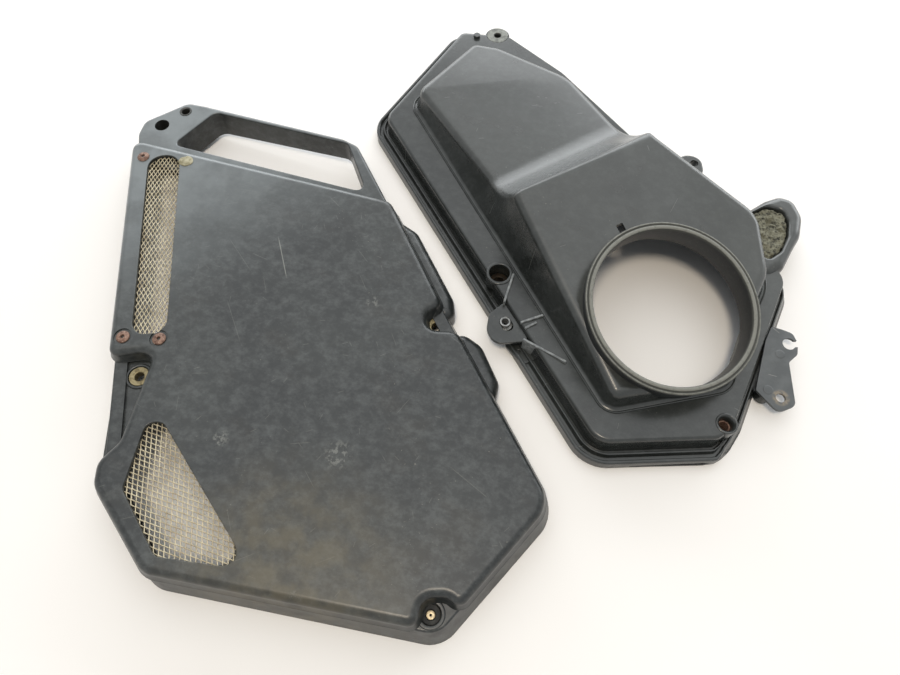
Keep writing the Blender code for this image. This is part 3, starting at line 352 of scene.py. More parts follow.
def turned(name, profile, at, steps=48, closed=True, place=None):
    """A turned piece from (radius, height) points in millimetres, spun round the upright through a point."""
    bm = bmesh.new()
    verts = [bm.verts.new(Vector((r, 0, z)) * MM) for r, z in profile]
    edges = [bm.edges.new(pair) for pair in zip(verts, verts[1:])]
    if closed:
        edges.append(bm.edges.new((verts[-1], verts[0])))
    bmesh.ops.spin(
        bm, geom=verts + edges, cent=(0, 0, 0), axis=(0, 0, 1), dvec=(0, 0, 0), angle=2 * math.pi,
        steps=steps, use_merge=True, use_duplicate=False,
    )
    if place:
        bmesh.ops.transform(bm, matrix=place, verts=bm.verts)
    return linked(name, bm, at)


def spot(at, half, height=0):
    """A place of a half, given in millimetres, in the frame."""
    return half + Vector((at[0], at[1], height)) * MM


def peg(name, at, radius, low, high, half, steps=40):
    """A plain upright cylinder, for holes and bosses."""
    bm = bmesh.new()
    middle = Matrix.Translation(Vector((at[0], at[1], (low + high) / 2)) * MM)
    bmesh.ops.create_cone(
        bm, cap_ends=True, segments=steps, radius1=radius * MM, radius2=radius * MM,
        depth=(high - low) * MM, matrix=middle,
    )
    return linked(name, bm, half)


def roughen(made, size, amount, seed=0):
    """Pushes the vertices of a settled mesh along their normals by a fixed noise."""
    for vertex in made.data.vertices:
        pattern = noise.fractal(vertex.co / (size * MM) + Vector((seed, 0, 0)), 1.0, 2.0, 4)
        vertex.co += vertex.normal * pattern * amount * MM
    return made


# Materials: one small function adds a node with its settings and links
def tint(text):
    """A web colour as linear light."""
    parts = [int(text[i:i + 2], 16) / 255 for i in (1, 3, 5)]
    return (*[c / 12.92 if c <= 0.04045 else ((c + 0.055) / 1.055) ** 2.4 for c in parts], 1)


def feed(tree, node, inputs):
    """Links or sets a node's sockets."""
    for key, value in inputs.items():
        if isinstance(value, bpy.types.NodeSocket):
            tree.links.new(value, node.inputs[key])
        else:
            node.inputs[key].default_value = tint(value) if isinstance(value, str) else value


def add(tree, kind, inputs, **settings):
    """Adds a node with its settings and links, and gives back its outputs."""
    made = tree.nodes.new(kind)
    for key, value in settings.items():
        setattr(made, key, value)
    feed(tree, made, inputs)
    return made.outputs


class Finish:
    """A material under way: its colour grows layer by layer, and its patterns are sized in millimetres."""

    def __init__(self, name, colour):
        self.made = bpy.data.materials.new(name)
        self.made.use_nodes = True
        self.tree = self.made.node_tree
        self.colour = colour
        place = add(self.tree, "ShaderNodeTexCoord", {})["Object"]
        self.place = add(self.tree, "ShaderNodeVectorMath", {0: place, "Scale": 1 / MM}, operation="SCALE")[0]

    def grain(self, size, detail=3.0, stretch=(1, 1, 1), turn=0.0, rough=0.55, shift=0.0):
        """Noise from 0 to 1 with features of that size."""
        way = add(self.tree, "ShaderNodeVectorRotate", {
            "Vector": self.place, "Angle": math.radians(turn)}, rotation_type="Z_AXIS")[0]
        way = add(self.tree, "ShaderNodeMapping", {
            "Vector": way, "Location": (shift, shift, 0), "Scale": tuple(1 / (size * s) for s in stretch)})[0]
        return add(self.tree, "ShaderNodeTexNoise", {
            "Vector": way, "Scale": 1.0, "Detail": detail, "Roughness": rough})[0]

    def patches(self, size, low, high, detail=3.0, start=0.0, to=1.0, **pattern):
        """Soft-edged patches of that size: noise between low and high, taken onto start to to."""
        return add(self.tree, "ShaderNodeMapRange", {
            "Value": self.grain(size, detail, **pattern), "From Min": low, "From Max": high,
            "To Min": start, "To Max": to}, interpolation_type="SMOOTHSTEP")[0]

    def facing_up(self, low, high):
        """0 on walls and 1 on faces that look up, where dust settles and where painted sheen and painted
        light are laid.
        """
        normal = add(self.tree, "ShaderNodeNewGeometry", {})["Normal"]
        up = add(self.tree, "ShaderNodeSeparateXYZ", {0: normal})[2]
        return add(self.tree, "ShaderNodeMapRange", {
            "Value": up, "From Min": low, "From Max": high}, interpolation_type="SMOOTHSTEP")[0]

    def near(self, at, reach, soft):
        """1 inside a round spot at a place in the frame, fading over soft."""
        away = add(self.tree, "ShaderNodeVectorMath", {
            0: self.place, 1: tuple(at)}, operation="DISTANCE")["Value"]
        return add(self.tree, "ShaderNodeMapRange", {
            "Value": away, "From Min": reach, "From Max": reach + soft, "To Min": 1.0, "To Max": 0.0,
        }, interpolation_type="SMOOTHSTEP")[0]

    def line(self, away, turn, long, thin):
        """1 on a thin straight mark through the zero of a vector, turned by an angle in radians."""
        way = add(self.tree, "ShaderNodeVectorRotate", {
            "Vector": away, "Angle": turn}, rotation_type="Z_AXIS")[0]
        along, across, _ = add(self.tree, "ShaderNodeSeparateXYZ", {0: way})
        mark = 1.0
        for part, full, end in ((across, thin * 0.4, thin * 0.7), (along, long * 0.3, long * 0.5)):
            off = add(self.tree, "ShaderNodeMath", {0: part}, operation="ABSOLUTE")[0]
            inside = add(self.tree, "ShaderNodeMapRange", {
                "Value": off, "From Min": full, "From Max": end, "To Min": 1.0, "To Max": 0.0,
            }, interpolation_type="SMOOTHSTEP")[0]
            mark = add(self.tree, "ShaderNodeMath", {0: inside, 1: mark}, operation="MULTIPLY")[0]
        return mark

    def stroke(self, a, b, thin):
        """One straight mark between two places in the frame."""
        a, b = Vector(a), Vector(b)
        away = add(self.tree, "ShaderNodeVectorMath", {
            0: self.place, 1: tuple((a + b) / 2)}, operation="SUBTRACT")[0]
        return self.line(away, -math.atan2((b - a).y, (b - a).x), (b - a).length, thin)

    def scratches(self, cell, long, thin, share, shift=0.0):
        """Straight scratches at every angle: one at most in each cell, and in that share of the cells."""
        place = add(self.tree, "ShaderNodeVectorMath", {
            0: self.place, 1: (shift, shift, 0.0)}, operation="ADD")[0]
        cells = add(self.tree, "ShaderNodeTexVoronoi", {
            "Vector": place, "Scale": 1 / cell}, voronoi_dimensions="2D")
        away = add(self.tree, "ShaderNodeVectorMath", {
            0: place, 1: cells["Position"]}, operation="SUBTRACT")[0]
        chance = add(self.tree, "ShaderNodeSeparateColor", {"Color": cells["Color"]})
        turn = add(self.tree, "ShaderNodeMath", {0: chance[0], 1: math.pi}, operation="MULTIPLY")[0]
        kept = add(self.tree, "ShaderNodeMath", {0: chance[1], 1: share}, operation="LESS_THAN")[0]
        marks = self.line(away, turn, long, thin)
        return add(self.tree, "ShaderNodeMath", {0: marks, 1: kept}, operation="MULTIPLY")[0]

    def stain(self, colour, share, *masks):
        """Lays a colour over what is there, in that share, where all the masks meet."""
        for mask in masks:
            share = add(self.tree, "ShaderNodeMath", {0: mask, 1: share}, operation="MULTIPLY")[0]
        self.colour = add(self.tree, "ShaderNodeMix", {
            0: share, 6: self.colour, 7: colour}, data_type="RGBA")[2]

    def done(self, rough, metal=0.0, bumps=()):
        """Sets the shader; bumps are (height, depth in millimetres)."""
        given = {"Base Color": self.colour, "Roughness": rough, "Metallic": metal}
        for height, depth in bumps:
            bump = {"Height": height, "Strength": 1.0, "Distance": depth * MM}
            if "Normal" in given:
                bump["Normal"] = given["Normal"]
            given["Normal"] = add(self.tree, "ShaderNodeBump", bump)[0]
        feed(self.tree, self.tree.nodes["Principled BSDF"], given)
        return self.made


def moulded_plastic(name, dark, pale, gloss, worn, shift):
    """Black injection-moulded ABS, handled for years: uneven sheen, brown-black smudges, a grey haze, single
    pale scratches and specks of dust. The moulded grain is drawn at 0.7 mm, coarser than it is, to show."""
    m = Finish(name, dark)
    m.stain(pale, 1.0, m.patches(90.0, 0.36, 0.66, shift=shift))
    smudge = m.patches(24.0, 0.5, 0.7, 4.0, stretch=(1.5, 1, 1), turn=30.0, rough=0.6, shift=shift + 5)
    m.stain("#1f1e1b", 0.2 + 0.3 * worn, smudge)
    haze = m.patches(7.0, 0.38, 0.74, 6.0, stretch=(1.2, 1, 1), turn=12.0, rough=0.74, shift=shift + 7)
    m.stain("#7b8080", 0.06 + 0.17 * worn, haze)
    lines = 0.0
    sizes = ((58.0, 40.0, 0.36, 0.12), (24.0, 15.0, 0.34, 0.14), (9.0, 5.0, 0.36, 0.12))
    for cell, long, thin, share in sizes:
        marks = m.scratches(cell, long, thin, share * worn, shift + cell)
        lines = add(m.tree, "ShaderNodeMath", {0: marks, 1: lines}, operation="MAXIMUM")[0]
    m.stain("#9a9c97", 0.15, lines)
    speck = m.patches(1.7, 0.69, 0.76, 2.0, shift=shift + 9)
    m.stain("#a8a59a", 0.3, speck, m.patches(40.0, 0.46, 0.66, 2.0, shift=shift + 3))
    rough = add(m.tree, "ShaderNodeMapRange", {
        "Value": smudge, "To Min": gloss, "To Max": gloss + 0.1 * worn}, interpolation_type="SMOOTHSTEP")[0]
    rough = add(m.tree, "ShaderNodeMath", {0: lines, 1: 0.15, 2: rough}, operation="MULTIPLY_ADD")[0]
    return m, rough, [(m.grain(0.7, 2.0, shift=shift), 0.02), (lines, -0.03)]


def cover_plastic():
    """The cover's ABS is the more worn: scuffed patches, a rubbed band near the top, one long scratch, a warm
    brown tone towards the lower edge, a painted sheen that lightens up-facing faces towards the upper left
    corner, pale wear with a painted highlight along the top edge and a painted highlight along the left edge."""
    m, rough, bumps = moulded_plastic("aged_moulded_abs", "#181b1b", "#262928", 0.33, 1.0, 4.0)

    def on_panel(at, height=PANEL_TOP):
        return spot(at, cover_at, height) / MM

    crumbs = m.patches(2.6, 0.5, 0.62, rough=0.6)
    for at, reach in SCUFFS:
        m.stain("#a5a7a1", 0.28, crumbs, m.near(on_panel(at), reach * 0.3, reach))
    streaks = m.patches(1.0, 0.56, 0.64, 2.0, stretch=(26, 0.9, 1), turn=13.0, rough=0.5)
    m.stain("#151615", 0.55, streaks, m.near(on_panel(RUBBED_AT), 12, 24))
    m.stain("#a5a7a1", 0.4, m.stroke(*[on_panel(p) for p in LONG_SCRATCH], 0.6))
    # A warm brown tone towards the lower edge
    dust = m.patches(14.0, 0.35, 0.65, 4.0, start=0.15, to=0.45, shift=6)
    m.stain("#68604a", 1.0, dust, m.near(on_panel(BROWN_TONE_AT), 20, 75))
    # Painted sheen: faces that look up go lighter towards the upper left corner, where the back light's
    # reflection falls
    along = add(m.tree, "ShaderNodeVectorMath", {0: m.place, 1: PAINTED_SHEEN_WAY}, operation="DOT_PRODUCT")["Value"]
    middle = cover_at.dot(Vector(PAINTED_SHEEN_WAY)) / MM
    painted_sheen = add(m.tree, "ShaderNodeMapRange", {
        "Value": along, "From Min": middle + 40, "From Max": middle + 210,
    }, interpolation_type="SMOOTHSTEP")[0]
    uneven = m.patches(30.0, 0.3, 0.6, 4.0, start=0.6, shift=2)
    m.stain("#81888b", 0.8, painted_sheen, m.facing_up(0.3, 0.95), uneven)
    # Pale wear and a painted highlight along the top edge; a painted highlight along the left edge
    m.stain("#a3a9ab", 0.4, m.stroke(*[on_panel(p, LOOP_TOP) for p in TOP_EDGE], 2.4))
    m.stain("#a3a9ab", 0.4, m.stroke(*[on_panel(p) for p in LEFT_EDGE_HIGHLIGHT], 1.8))
    return m.done(rough, bumps=bumps)


def case_plastic():
    """The case's ABS kept its gloss; faces that look up go paler on top of the scoop and towards the right,
    partly dust and partly painted light.
    """
    m, rough, bumps = moulded_plastic("glossy_moulded_abs", "#252827", "#333635", 0.25, 0.25, 51.0)
    x, _, z = add(m.tree, "ShaderNodeSeparateXYZ", {0: m.place})
    middle = case_at.x / MM
    # Up-facing faces paler towards the right and on top of the scoop: partly dust, partly painted light where
    # those faces took more light
    dust = 0.0
    for place, start, end, share in ((x, middle + 20, middle + 150, 0.1), (z, 34, 44, 0.08)):
        layer = add(m.tree, "ShaderNodeMapRange", {
            "Value": place, "From Min": start, "From Max": end, "To Max": share,
        }, interpolation_type="SMOOTHSTEP")[0]
        dust = add(m.tree, "ShaderNodeMath", {0: layer, 1: dust}, operation="ADD")[0]
    m.stain("#8f9290", 1.0, dust, m.facing_up(0.5, 0.95))
    return m.done(rough, bumps=bumps)


def rubbed_plastic():
    """Thin ribs of the same moulded ABS, rubbed and bent until they went pale grey along their edges."""
    m = Finish("rubbed_moulded_abs", "#6a6e70")
    m.stain("#8f9496", 1.0, m.patches(3.0, 0.4, 0.62, 4.0))
    return m.done(0.5)


def wire():
    """Woven zinc-plated steel wire, yellowed and dusty: warm pale strands with dull darker stretches."""
    m = Finish("woven_plated_wire", "#cfc5aa")
    m.stain("#aca085", 1.0, m.patches(9.0, 0.38, 0.7))
    m.stain("#8a7f66", 1.0, m.patches(2.2, 0.6, 0.72, 2.0))
    return m.done(0.55, 0.1, [(m.grain(0.5), 0.05)])


def rusted_steel():
    """Pressed blind-rivet steel, rusted: copper-brown heads with darker pits and pale worn patches."""
    m = Finish("rusted_rivet_steel", "#84695b")
    m.stain("#553b30", 1.0, m.patches(2.4, 0.4, 0.66, 4.0))
    m.stain("#a99182", 1.0, m.patches(1.1, 0.58, 0.7, shift=7))
    return m.done(0.6, 0.35, [(m.grain(0.8, 4.0), 0.12)])


def brass(name, pale, dark):
    """Turned brass, old: dull olive yellow, brown in the grooves; its nearly black copy is painted shade, its
    pale cream copy painted light.
    """
    m = Finish(name, pale)
    m.stain(dark, 1.0, m.patches(3.0, 0.42, 0.68))
    return m.done(m.patches(1.6, 0.3, 0.7, start=0.4, to=0.6), 0.7)


def zinc_steel(name, pale, dark):
    """Turned or stamped steel, zinc-plated: dull grey with paler rubbed spots."""
    m = Finish(name, pale)
    m.stain(dark, 1.0, m.patches(3.5, 0.4, 0.66, 4.0))
    return m.done(m.patches(1.6, 0.3, 0.7, start=0.4, to=0.6), 0.6, [(m.grain(0.6), 0.04)])


def thin_steel():
    """Plain rolled steel sheet, dark and slightly oily."""
    m = Finish("rolled_steel_sheet", "#4a4a48")
    m.stain("#33322f", 1.0, m.patches(8.0, 0.4, 0.7))
    return m.done(0.5, 0.7)


def rubber():
    """Soft moulded rubber, black with a dusty bloom."""
    m = Finish("soft_black_rubber", "#1d1e1e")
    m.stain("#393a38", 1.0, m.patches(6.0, 0.42, 0.7, 4.0))
    return m.done(0.72, bumps=[(m.grain(0.6), 0.05)])


def collar_rubber(middle, axis):
    """Moulded rubber collar, matt and dark, whose rim is rubbed to olive grey where the hose sat."""
    m = Finish("worn_collar_rubber", "#1a1c1d")
    away = add(m.tree, "ShaderNodeVectorMath", {0: m.place, 1: tuple(middle / MM)}, operation="SUBTRACT")[0]
    lift = add(m.tree, "ShaderNodeVectorMath", {0: away, 1: tuple(axis)}, operation="DOT_PRODUCT")["Value"]
    bands = []
    for size, detail, waver, start in ((5.0, 4.0, 1.6, 9.6), (3.0, 3.0, 0.5, 11.6)):
        height = add(m.tree, "ShaderNodeMath", {
            0: m.grain(size, detail), 1: waver, 2: lift}, operation="MULTIPLY_ADD")[0]
        bands.append(add(m.tree, "ShaderNodeMapRange", {
            "Value": height, "From Min": start, "From Max": 12.0}, interpolation_type="SMOOTHSTEP")[0])
    worn, crest = bands
    m.stain("#454642", 1.0, worn)
    m.stain("#7c7d77", 1.0, crest)
    m.stain("#3a3b37", 0.35, m.patches(2.0, 0.52, 0.7))
    rough = add(m.tree, "ShaderNodeMapRange", {
        "Value": worn, "To Min": 0.42, "To Max": 0.7}, interpolation_type="SMOOTHSTEP")[0]
    return m.done(rough, bumps=[(m.grain(0.9), 0.06)])


def painted_steel(hole):
    """Pressed steel painted black, scuffed, with a brown ring rubbed bare round its hole."""
    m = Finish("pressed_painted_steel", "#4a4d4e")
    m.stain("#575a5b", 1.0, m.patches(14.0, 0.36, 0.7, 4.0))
    m.stain("#857a69", 0.8, m.near(hole, 4.6, 2.2), m.patches(2.5, 0.3, 0.6, 4.0))
    m.stain("#a5a49e", 0.4, m.scratches(9.0, 7.0, 0.4, 0.2, 3.0))
    return m.done(0.42, 0.15, [(m.grain(1.2), 0.04)])


def old_foam():
    """Open-cell foam, crumbling: olive cream, dark pits between the crumbs, no shine."""
    m = Finish("crumbling_foam", "#26261f")
    m.stain("#7c7b6b", 1.0, m.patches(3.2, 0.36, 0.58, 4.0, rough=0.7))
    m.stain("#5d5b4b", 1.0, m.patches(9.0, 0.5, 0.7))
    return m.done(0.95, bumps=[(m.grain(1.4, 4.0), 0.5)])


def old_sealant():
    """Sealant squeezed on and set, cream gone olive, slightly waxy."""
    m = Finish("yellowed_sealant", "#aaa58b")
    m.stain("#857f63", 1.0, m.patches(4.0, 0.4, 0.66, 4.0))
    return m.done(0.6, bumps=[(m.grain(1.5), 0.2)])


def pleat_paper():
    """Oiled and pleated filter paper, tan with darker dust in the folds."""
    m = Finish("pleated_filter_paper", "#c9a76c")
    m.stain("#9b7d4c", 1.0, m.patches(18.0, 0.4, 0.7, 4.0))
    return m.done(0.9, bumps=[(m.grain(0.6), 0.05)])


def frame_plastic():
    """Plain moulded ABS, black and even, never handled."""
    m = Finish("plain_moulded_abs", "#242525")
    m.stain("#343534", 1.0, m.patches(20.0, 0.4, 0.7))
    return m.done(0.5)


def shown(made, finish, slot, body, *nodes):
    """Gives a piece its material and body, and hides the CAD nodes it stands for; the slot is not used."""
    made.data.materials.clear()
    made.data.materials.append(finish)
    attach(made, body)
    if nodes:
        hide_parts(*nodes)
    return made


COVER_PLASTIC = cover_plastic()
CASE_PLASTIC = case_plastic()
RUBBED_PLASTIC = rubbed_plastic()
WIRE = wire()
RUST = rusted_steel()
BRASS = brass("tarnished_brass", "#8d8264", "#5f553c")
# Pale cream brass: painted light, standing for the lit spot seen through the corner sleeve
LIT_SPOT_BRASS = brass("lit_spot_brass", "#c2b395", "#a39377")
# Nearly black brass: painted shade, standing for the dark inside of the deep pocket
SHADE_BLACK_BRASS = brass("shade_black_brass", "#2e2316", "#0e0c0a")
ZINC = zinc_steel("rubbed_zinc_steel", "#8f9090", "#6c6e6d")
DULL_ZINC = zinc_steel("dull_zinc_steel", "#74756f", "#545550")
RUBBER = rubber()
DARK_STEEL = thin_steel()


# Outer cover: panel with rolled edges, two mesh windows and counterbores for the lower rivets
def make_panel():
    wall = PANEL_WALL
    rings = [(-SKIRT_FLARE, SKIRT_FOOT), (0.4 - SKIRT_FLARE, SKIRT_FOOT + 0.6)]
    rings += quarter(PANEL_ROLL, 0, PANEL_TOP, 9)
    panel = linked("panel_skin", raised(outline(PANEL), rings), cover_at)
    hollow = [(wall - 2.2, SKIRT_FOOT - 2)] + quarter(PANEL_ROLL - wall, wall, PANEL_TOP - wall, 6)
    carve(panel, linked("panel_hollow", raised(outline(PANEL), hollow), cover_at))
    windows = [
        prism(f"window_{n}", window, SKIRT_FOOT - 1, PANEL_TOP + PROUD, cover_at, flare=WINDOW_FLARE)
        for n, window in enumerate((UPPER_WINDOW, LOWER_WINDOW), 1)
    ]
    floor = PANEL_TOP - COUNTERBORE_DEPTH
    bores = [
        peg(f"counterbore_{n}", at, COUNTERBORE_R, floor, PANEL_TOP + 2, cover_at)
        for n, at in enumerate(RIVETS[1:], 1)
    ]
    carve(panel, *windows, *bores)
    # Along the top edge the skirt ends just above the loop, so that the panel lies on it
    a, b = Vector(PANEL[0][:2]), Vector(PANEL[-1][:2])
    way = (b - a).normalized()
    side = Vector((-way.y, way.x))
    past = 20
    strip = [
        a - past * way - RIDGE_WIDE * side, b + past * way - RIDGE_WIDE * side,
        b + past * way + past * side, a - past * way + past * side,
    ]
    carve(panel, prism("skirt_trim", [(*p, 0.5) for p in strip], 10, LOOP_TOP + 0.3, cover_at))
    soften(panel, 0.4)
    return shown(panel, COVER_PLASTIC, "cover_plastic", "cover", "cover_panel")


# Carrier under the panel: sloping rim with a ledge, the loop, two lobes, screw lugs and the corner boss
def make_carrier():
    rings = [(-TRAY_FLARE, 0), (0.4 - TRAY_FLARE, 0.8)] + quarter(1.6, -0.4, LEDGE_TOP, 4, 12)
    tray = linked("carrier_tray", raised(outline(CARRIER), rings, foot=False), cover_at)
    thicken(tray, TRAY_WALL)
    carve(tray, prism("tray_opening", grown(CARRIER, -TRAY_RIM), -5, 40, cover_at))

    def loop_foot(place, step):
        """The loop's underside drops towards its left end."""
        return 0, 9 - 6 * min(max((20 - place.x) / 140, 0), 1)

    loop_rings = [loop_foot, (0, 12)] + quarter(LOOP_ROLL, 0, LOOP_TOP, 6)
    loop = linked("loop", raised(outline(LOOP), loop_rings), cover_at)
    carve(
        loop, prism("slot", SLOT, -2, LOOP_TOP + PROUD, cover_at, flare=LOOP_SLOT_FLARE),
        peg("plain_hole", PLAIN_HOLE, PLAIN_HOLE_R, 5, 40, cover_at),
        peg("insert_hole", INSERT_AT, BUSH_R + BUSH_GAP, 5, 40, cover_at),
    )
    lobe_rings = [(0, 2), (0, 6)] + quarter(LOBE_ROLL, 0, LEDGE_TOP - 0.4, 9)
    lobes = [
        linked(f"lobe_{n}", raised(outline(lobe), lobe_rings), cover_at)
        for n, lobe in enumerate((LOBE_1, LOBE_2), 1)
    ]
    lugs = []
    for name, lug, at in (("left_lug", LEFT_LUG, LEFT_BUSH_AT), ("right_lug", RIGHT_LUG, RIGHT_BUSH_AT)):
        plate = prism(name, lug, LUG_TOP - LUG_THICK, LUG_TOP, cover_at)
        hole = peg("bush_hole", at, BUSH_R + BUSH_GAP, 5, 30, cover_at)
        seat = peg("bush_seat", at, BUSH_COLLAR_R + 0.3, LUG_TOP - 0.5, 30, cover_at)
        lugs.append(carve(plate, hole, seat))
    carve(tray, peg("corner_opening", CORNER_AT, 7, 5, 40, cover_at))
    boss_profile = [(6.3, 0.8), (9, 0.8), (9, 20.8), (8.4, 21.3), (6.9, 21.3), (6.3, 20.9)]
    boss = turned("corner_boss", boss_profile, spot(CORNER_AT, cover_at))
    floor = prism("corner_floor", CORNER_FLOOR, 15.5, LEDGE_TOP - 0.1, cover_at)
    carve(floor, peg("corner_hole", CORNER_AT, 8.5, 5, 30, cover_at))
    rim = [
        (7.4, LUG_TOP - 0.6), (9.8, LUG_TOP - 0.6), (9.4, LUG_TOP + 1), (8.6, LUG_TOP + 1.5),
        (7.4, LUG_TOP + 1.1),
    ]
    for number, at in enumerate((LEFT_BUSH_AT, RIGHT_BUSH_AT)):
        lugs.append(turned(f"bush_rim_{number}", rim, spot(at, cover_at)))
    for piece in (tray, loop, *lobes, *lugs, boss, floor):
        soften(piece, 0.5)
        shown(piece, COVER_PLASTIC, "cover_plastic", "cover", "cover_carrier")


def make_mesh(name, window, weave, lap, node):
    """Woven wire: a grid laid in the weave's two directions and trimmed to the window, with its crossings
    high and low in turn."""
    area = [Vector(c[:2]) for c in grown(window, lap)]
    middle = sum(area, Vector((0, 0))) / len(area)
    reach = max((p - middle).length for p in area)
    warp, weft = (Vector(way) for way in weave)
    count = 2 * math.ceil(reach / min(warp.length, weft.length))
    bm = bmesh.new()
    bmesh.ops.create_grid(bm, x_segments=count, y_segments=count, size=count / 2)
    for vert in bm.verts:
        vert.co.z = MESH_RISE if round(vert.co.x + vert.co.y) % 2 else -MESH_RISE
    lay = Matrix((
        (warp.x, weft.x, 0, middle.x), (warp.y, weft.y, 0, middle.y), (0, 0, 1, MESH_Z), (0, 0, 0, 1)))
    bmesh.ops.transform(bm, matrix=Matrix.Scale(MM, 4) @ lay, verts=bm.verts)
    for i, a in enumerate(area):
        b = area[(i + 1) % len(area)]
        out = Vector(((b - a).y, -(b - a).x, 0)).normalized()
        bmesh.ops.bisect_plane(
            bm, geom=bm.verts[:] + bm.edges[:] + bm.faces[:], dist=1e-7, plane_co=Vector((*a, 0)) * MM,
            plane_no=out, clear_outer=True,
        )
    made = linked(name, bm, cover_at)
    modify(made, "WIREFRAME", thickness=MESH_WIRE * MM, use_even_offset=False, use_boundary=True, offset=0.0)
    settle(made)
    made.data.shade_smooth()
    return shown(made, WIRE, "mesh_wire", "cover", node)


def make_rivets():
    """Blind rivets with the mandrel's hole in their heads; the lower two sit in counterbores."""
    for number, (at, sunk) in enumerate(zip(RIVETS, (0, RIVET_SUNK, RIVET_SUNK)), 1):
        seat = PANEL_TOP + 0.1 - sunk
        profile = [
            (0, seat - 1.6), (1.2, seat - 1.6), (1.35, seat + 1.3), (1.8, seat + 1.5), (3.4, seat + 1.25),
            (4.4, seat + 0.8), (4.75, seat + 0.3), (4.7, seat), (2.4, seat), (2.4, 23), (0, 23),
        ]
        head = turned(f"rusted_rivet_{number}", profile, spot(at, cover_at), closed=False)
        soften(head, 0.12, 40, 2)
        shown(head, RUST, "rivet_steel", "cover", f"rivet_{number}")


def make_dab():
    bm = bmesh.new()
    bmesh.ops.create_icosphere(bm, subdivisions=5, radius=MM)
    bmesh.ops.scale(bm, vec=(5.8, 5.0, 1.0), verts=bm.verts)
    dab = linked("sealant_blob", bm, spot(SEALANT_AT, cover_at, PANEL_TOP + 0.2))
    roughen(dab, 4.0, 0.5, 3)
    dab.data.shade_smooth()
    shown(dab, old_sealant(), "sealant", "cover", "sealant_dab")


def make_ring(name, profile, place, edge, finish, slot, body, node):
    """A small turned ring, its edges broken by a fine radius."""
    ring = soften(turned(name, profile, place), edge, 40, 2)
    shown(ring, finish, slot, body, node)


def make_cover_metal():
    """Brass bushes, the loop's insert, and the corner's rubber grommet with its sleeve."""
    top = LUG_TOP - 0.4
    bush = [
        (SCREW_R, 13.2), (BUSH_R, 13.2), (BUSH_R, top), (BUSH_COLLAR_R, top), (BUSH_COLLAR_R, top + 1),
        (4.2, top + 1), (SCREW_R, top + 0.4),
    ]
    for node, at in (("left_bush", LEFT_BUSH_AT), ("right_bush", RIGHT_BUSH_AT)):
        make_ring(f"brass_{node}", bush, spot(at, cover_at), 0.2, BRASS, "bush_brass", "cover", node)
    top = LOOP_TOP + 0.4
    insert = [(SCREW_R, 15), (BUSH_R, 15), (BUSH_R, top), (4, top), (SCREW_R, LOOP_TOP - 0.3)]
    place = spot(INSERT_AT, cover_at)
    make_ring("steel_insert", insert, place, 0.15, DARK_STEEL, "washer_steel", "cover", "loop_insert")
    corner = spot(CORNER_AT, cover_at)
    grommet = [(2.8, 6), (6.2, 6), (6.2, 16.2), (5.8, 16.6), (3.4, 16.6), (2.8, 15.8)]
    make_ring("rubber_grommet", grommet, corner, 0.2, RUBBER, "seal_rubber", "cover", "corner_grommet")
    # The sleeve is pale cream brass: painted light for the lit spot seen through it
    sleeve = [(0.7, 5), (2.7, 5), (2.7, 14.6), (0.7, 14.6)]
    make_ring("steel_sleeve", sleeve, corner, 0.12, LIT_SPOT_BRASS, "washer_steel", "cover", "corner_sleeve")


# Inner case
def scoop_top(x, y):
    """Height of the scoop: a low end, a hollow ramp up to the crease, then a tilted face."""
    s = (x - CREASE_AT[0]) * ACROSS[0] + (y - CREASE_AT[1]) * ACROSS[1]
    face = CREASE_TOP - TILT * s
    ramp = LOW_TOP + (CREASE_TOP - LOW_TOP) * max(0.0, 1 + s / RAMP) ** 2
    share = max(CREASE_BLEND - abs(face - ramp), 0.0) / CREASE_BLEND
    return min(face, ramp) - share * share * CREASE_BLEND / 4


def scoop_rim(place, step):
    """Inset and height of the scoop's top rim over a point of its foot; the left wall leans back most
    beside the crease."""
    away = (place.xy - Vector(SCOOP_LEAN_AT)).length / SCOOP_LEAN_REACH
    lean = SCOOP_LEAN * max(1 - away * away, 0) ** 2
    inset = SCOOP_EDGE
    for _ in range(3):
        edge = place + step * inset
        top = scoop_top(edge.x, edge.y)
        inset = SCOOP_DRAFT * (top - DECK_TOP - SCOOP_EDGE) + SCOOP_EDGE + lean
    return inset, top


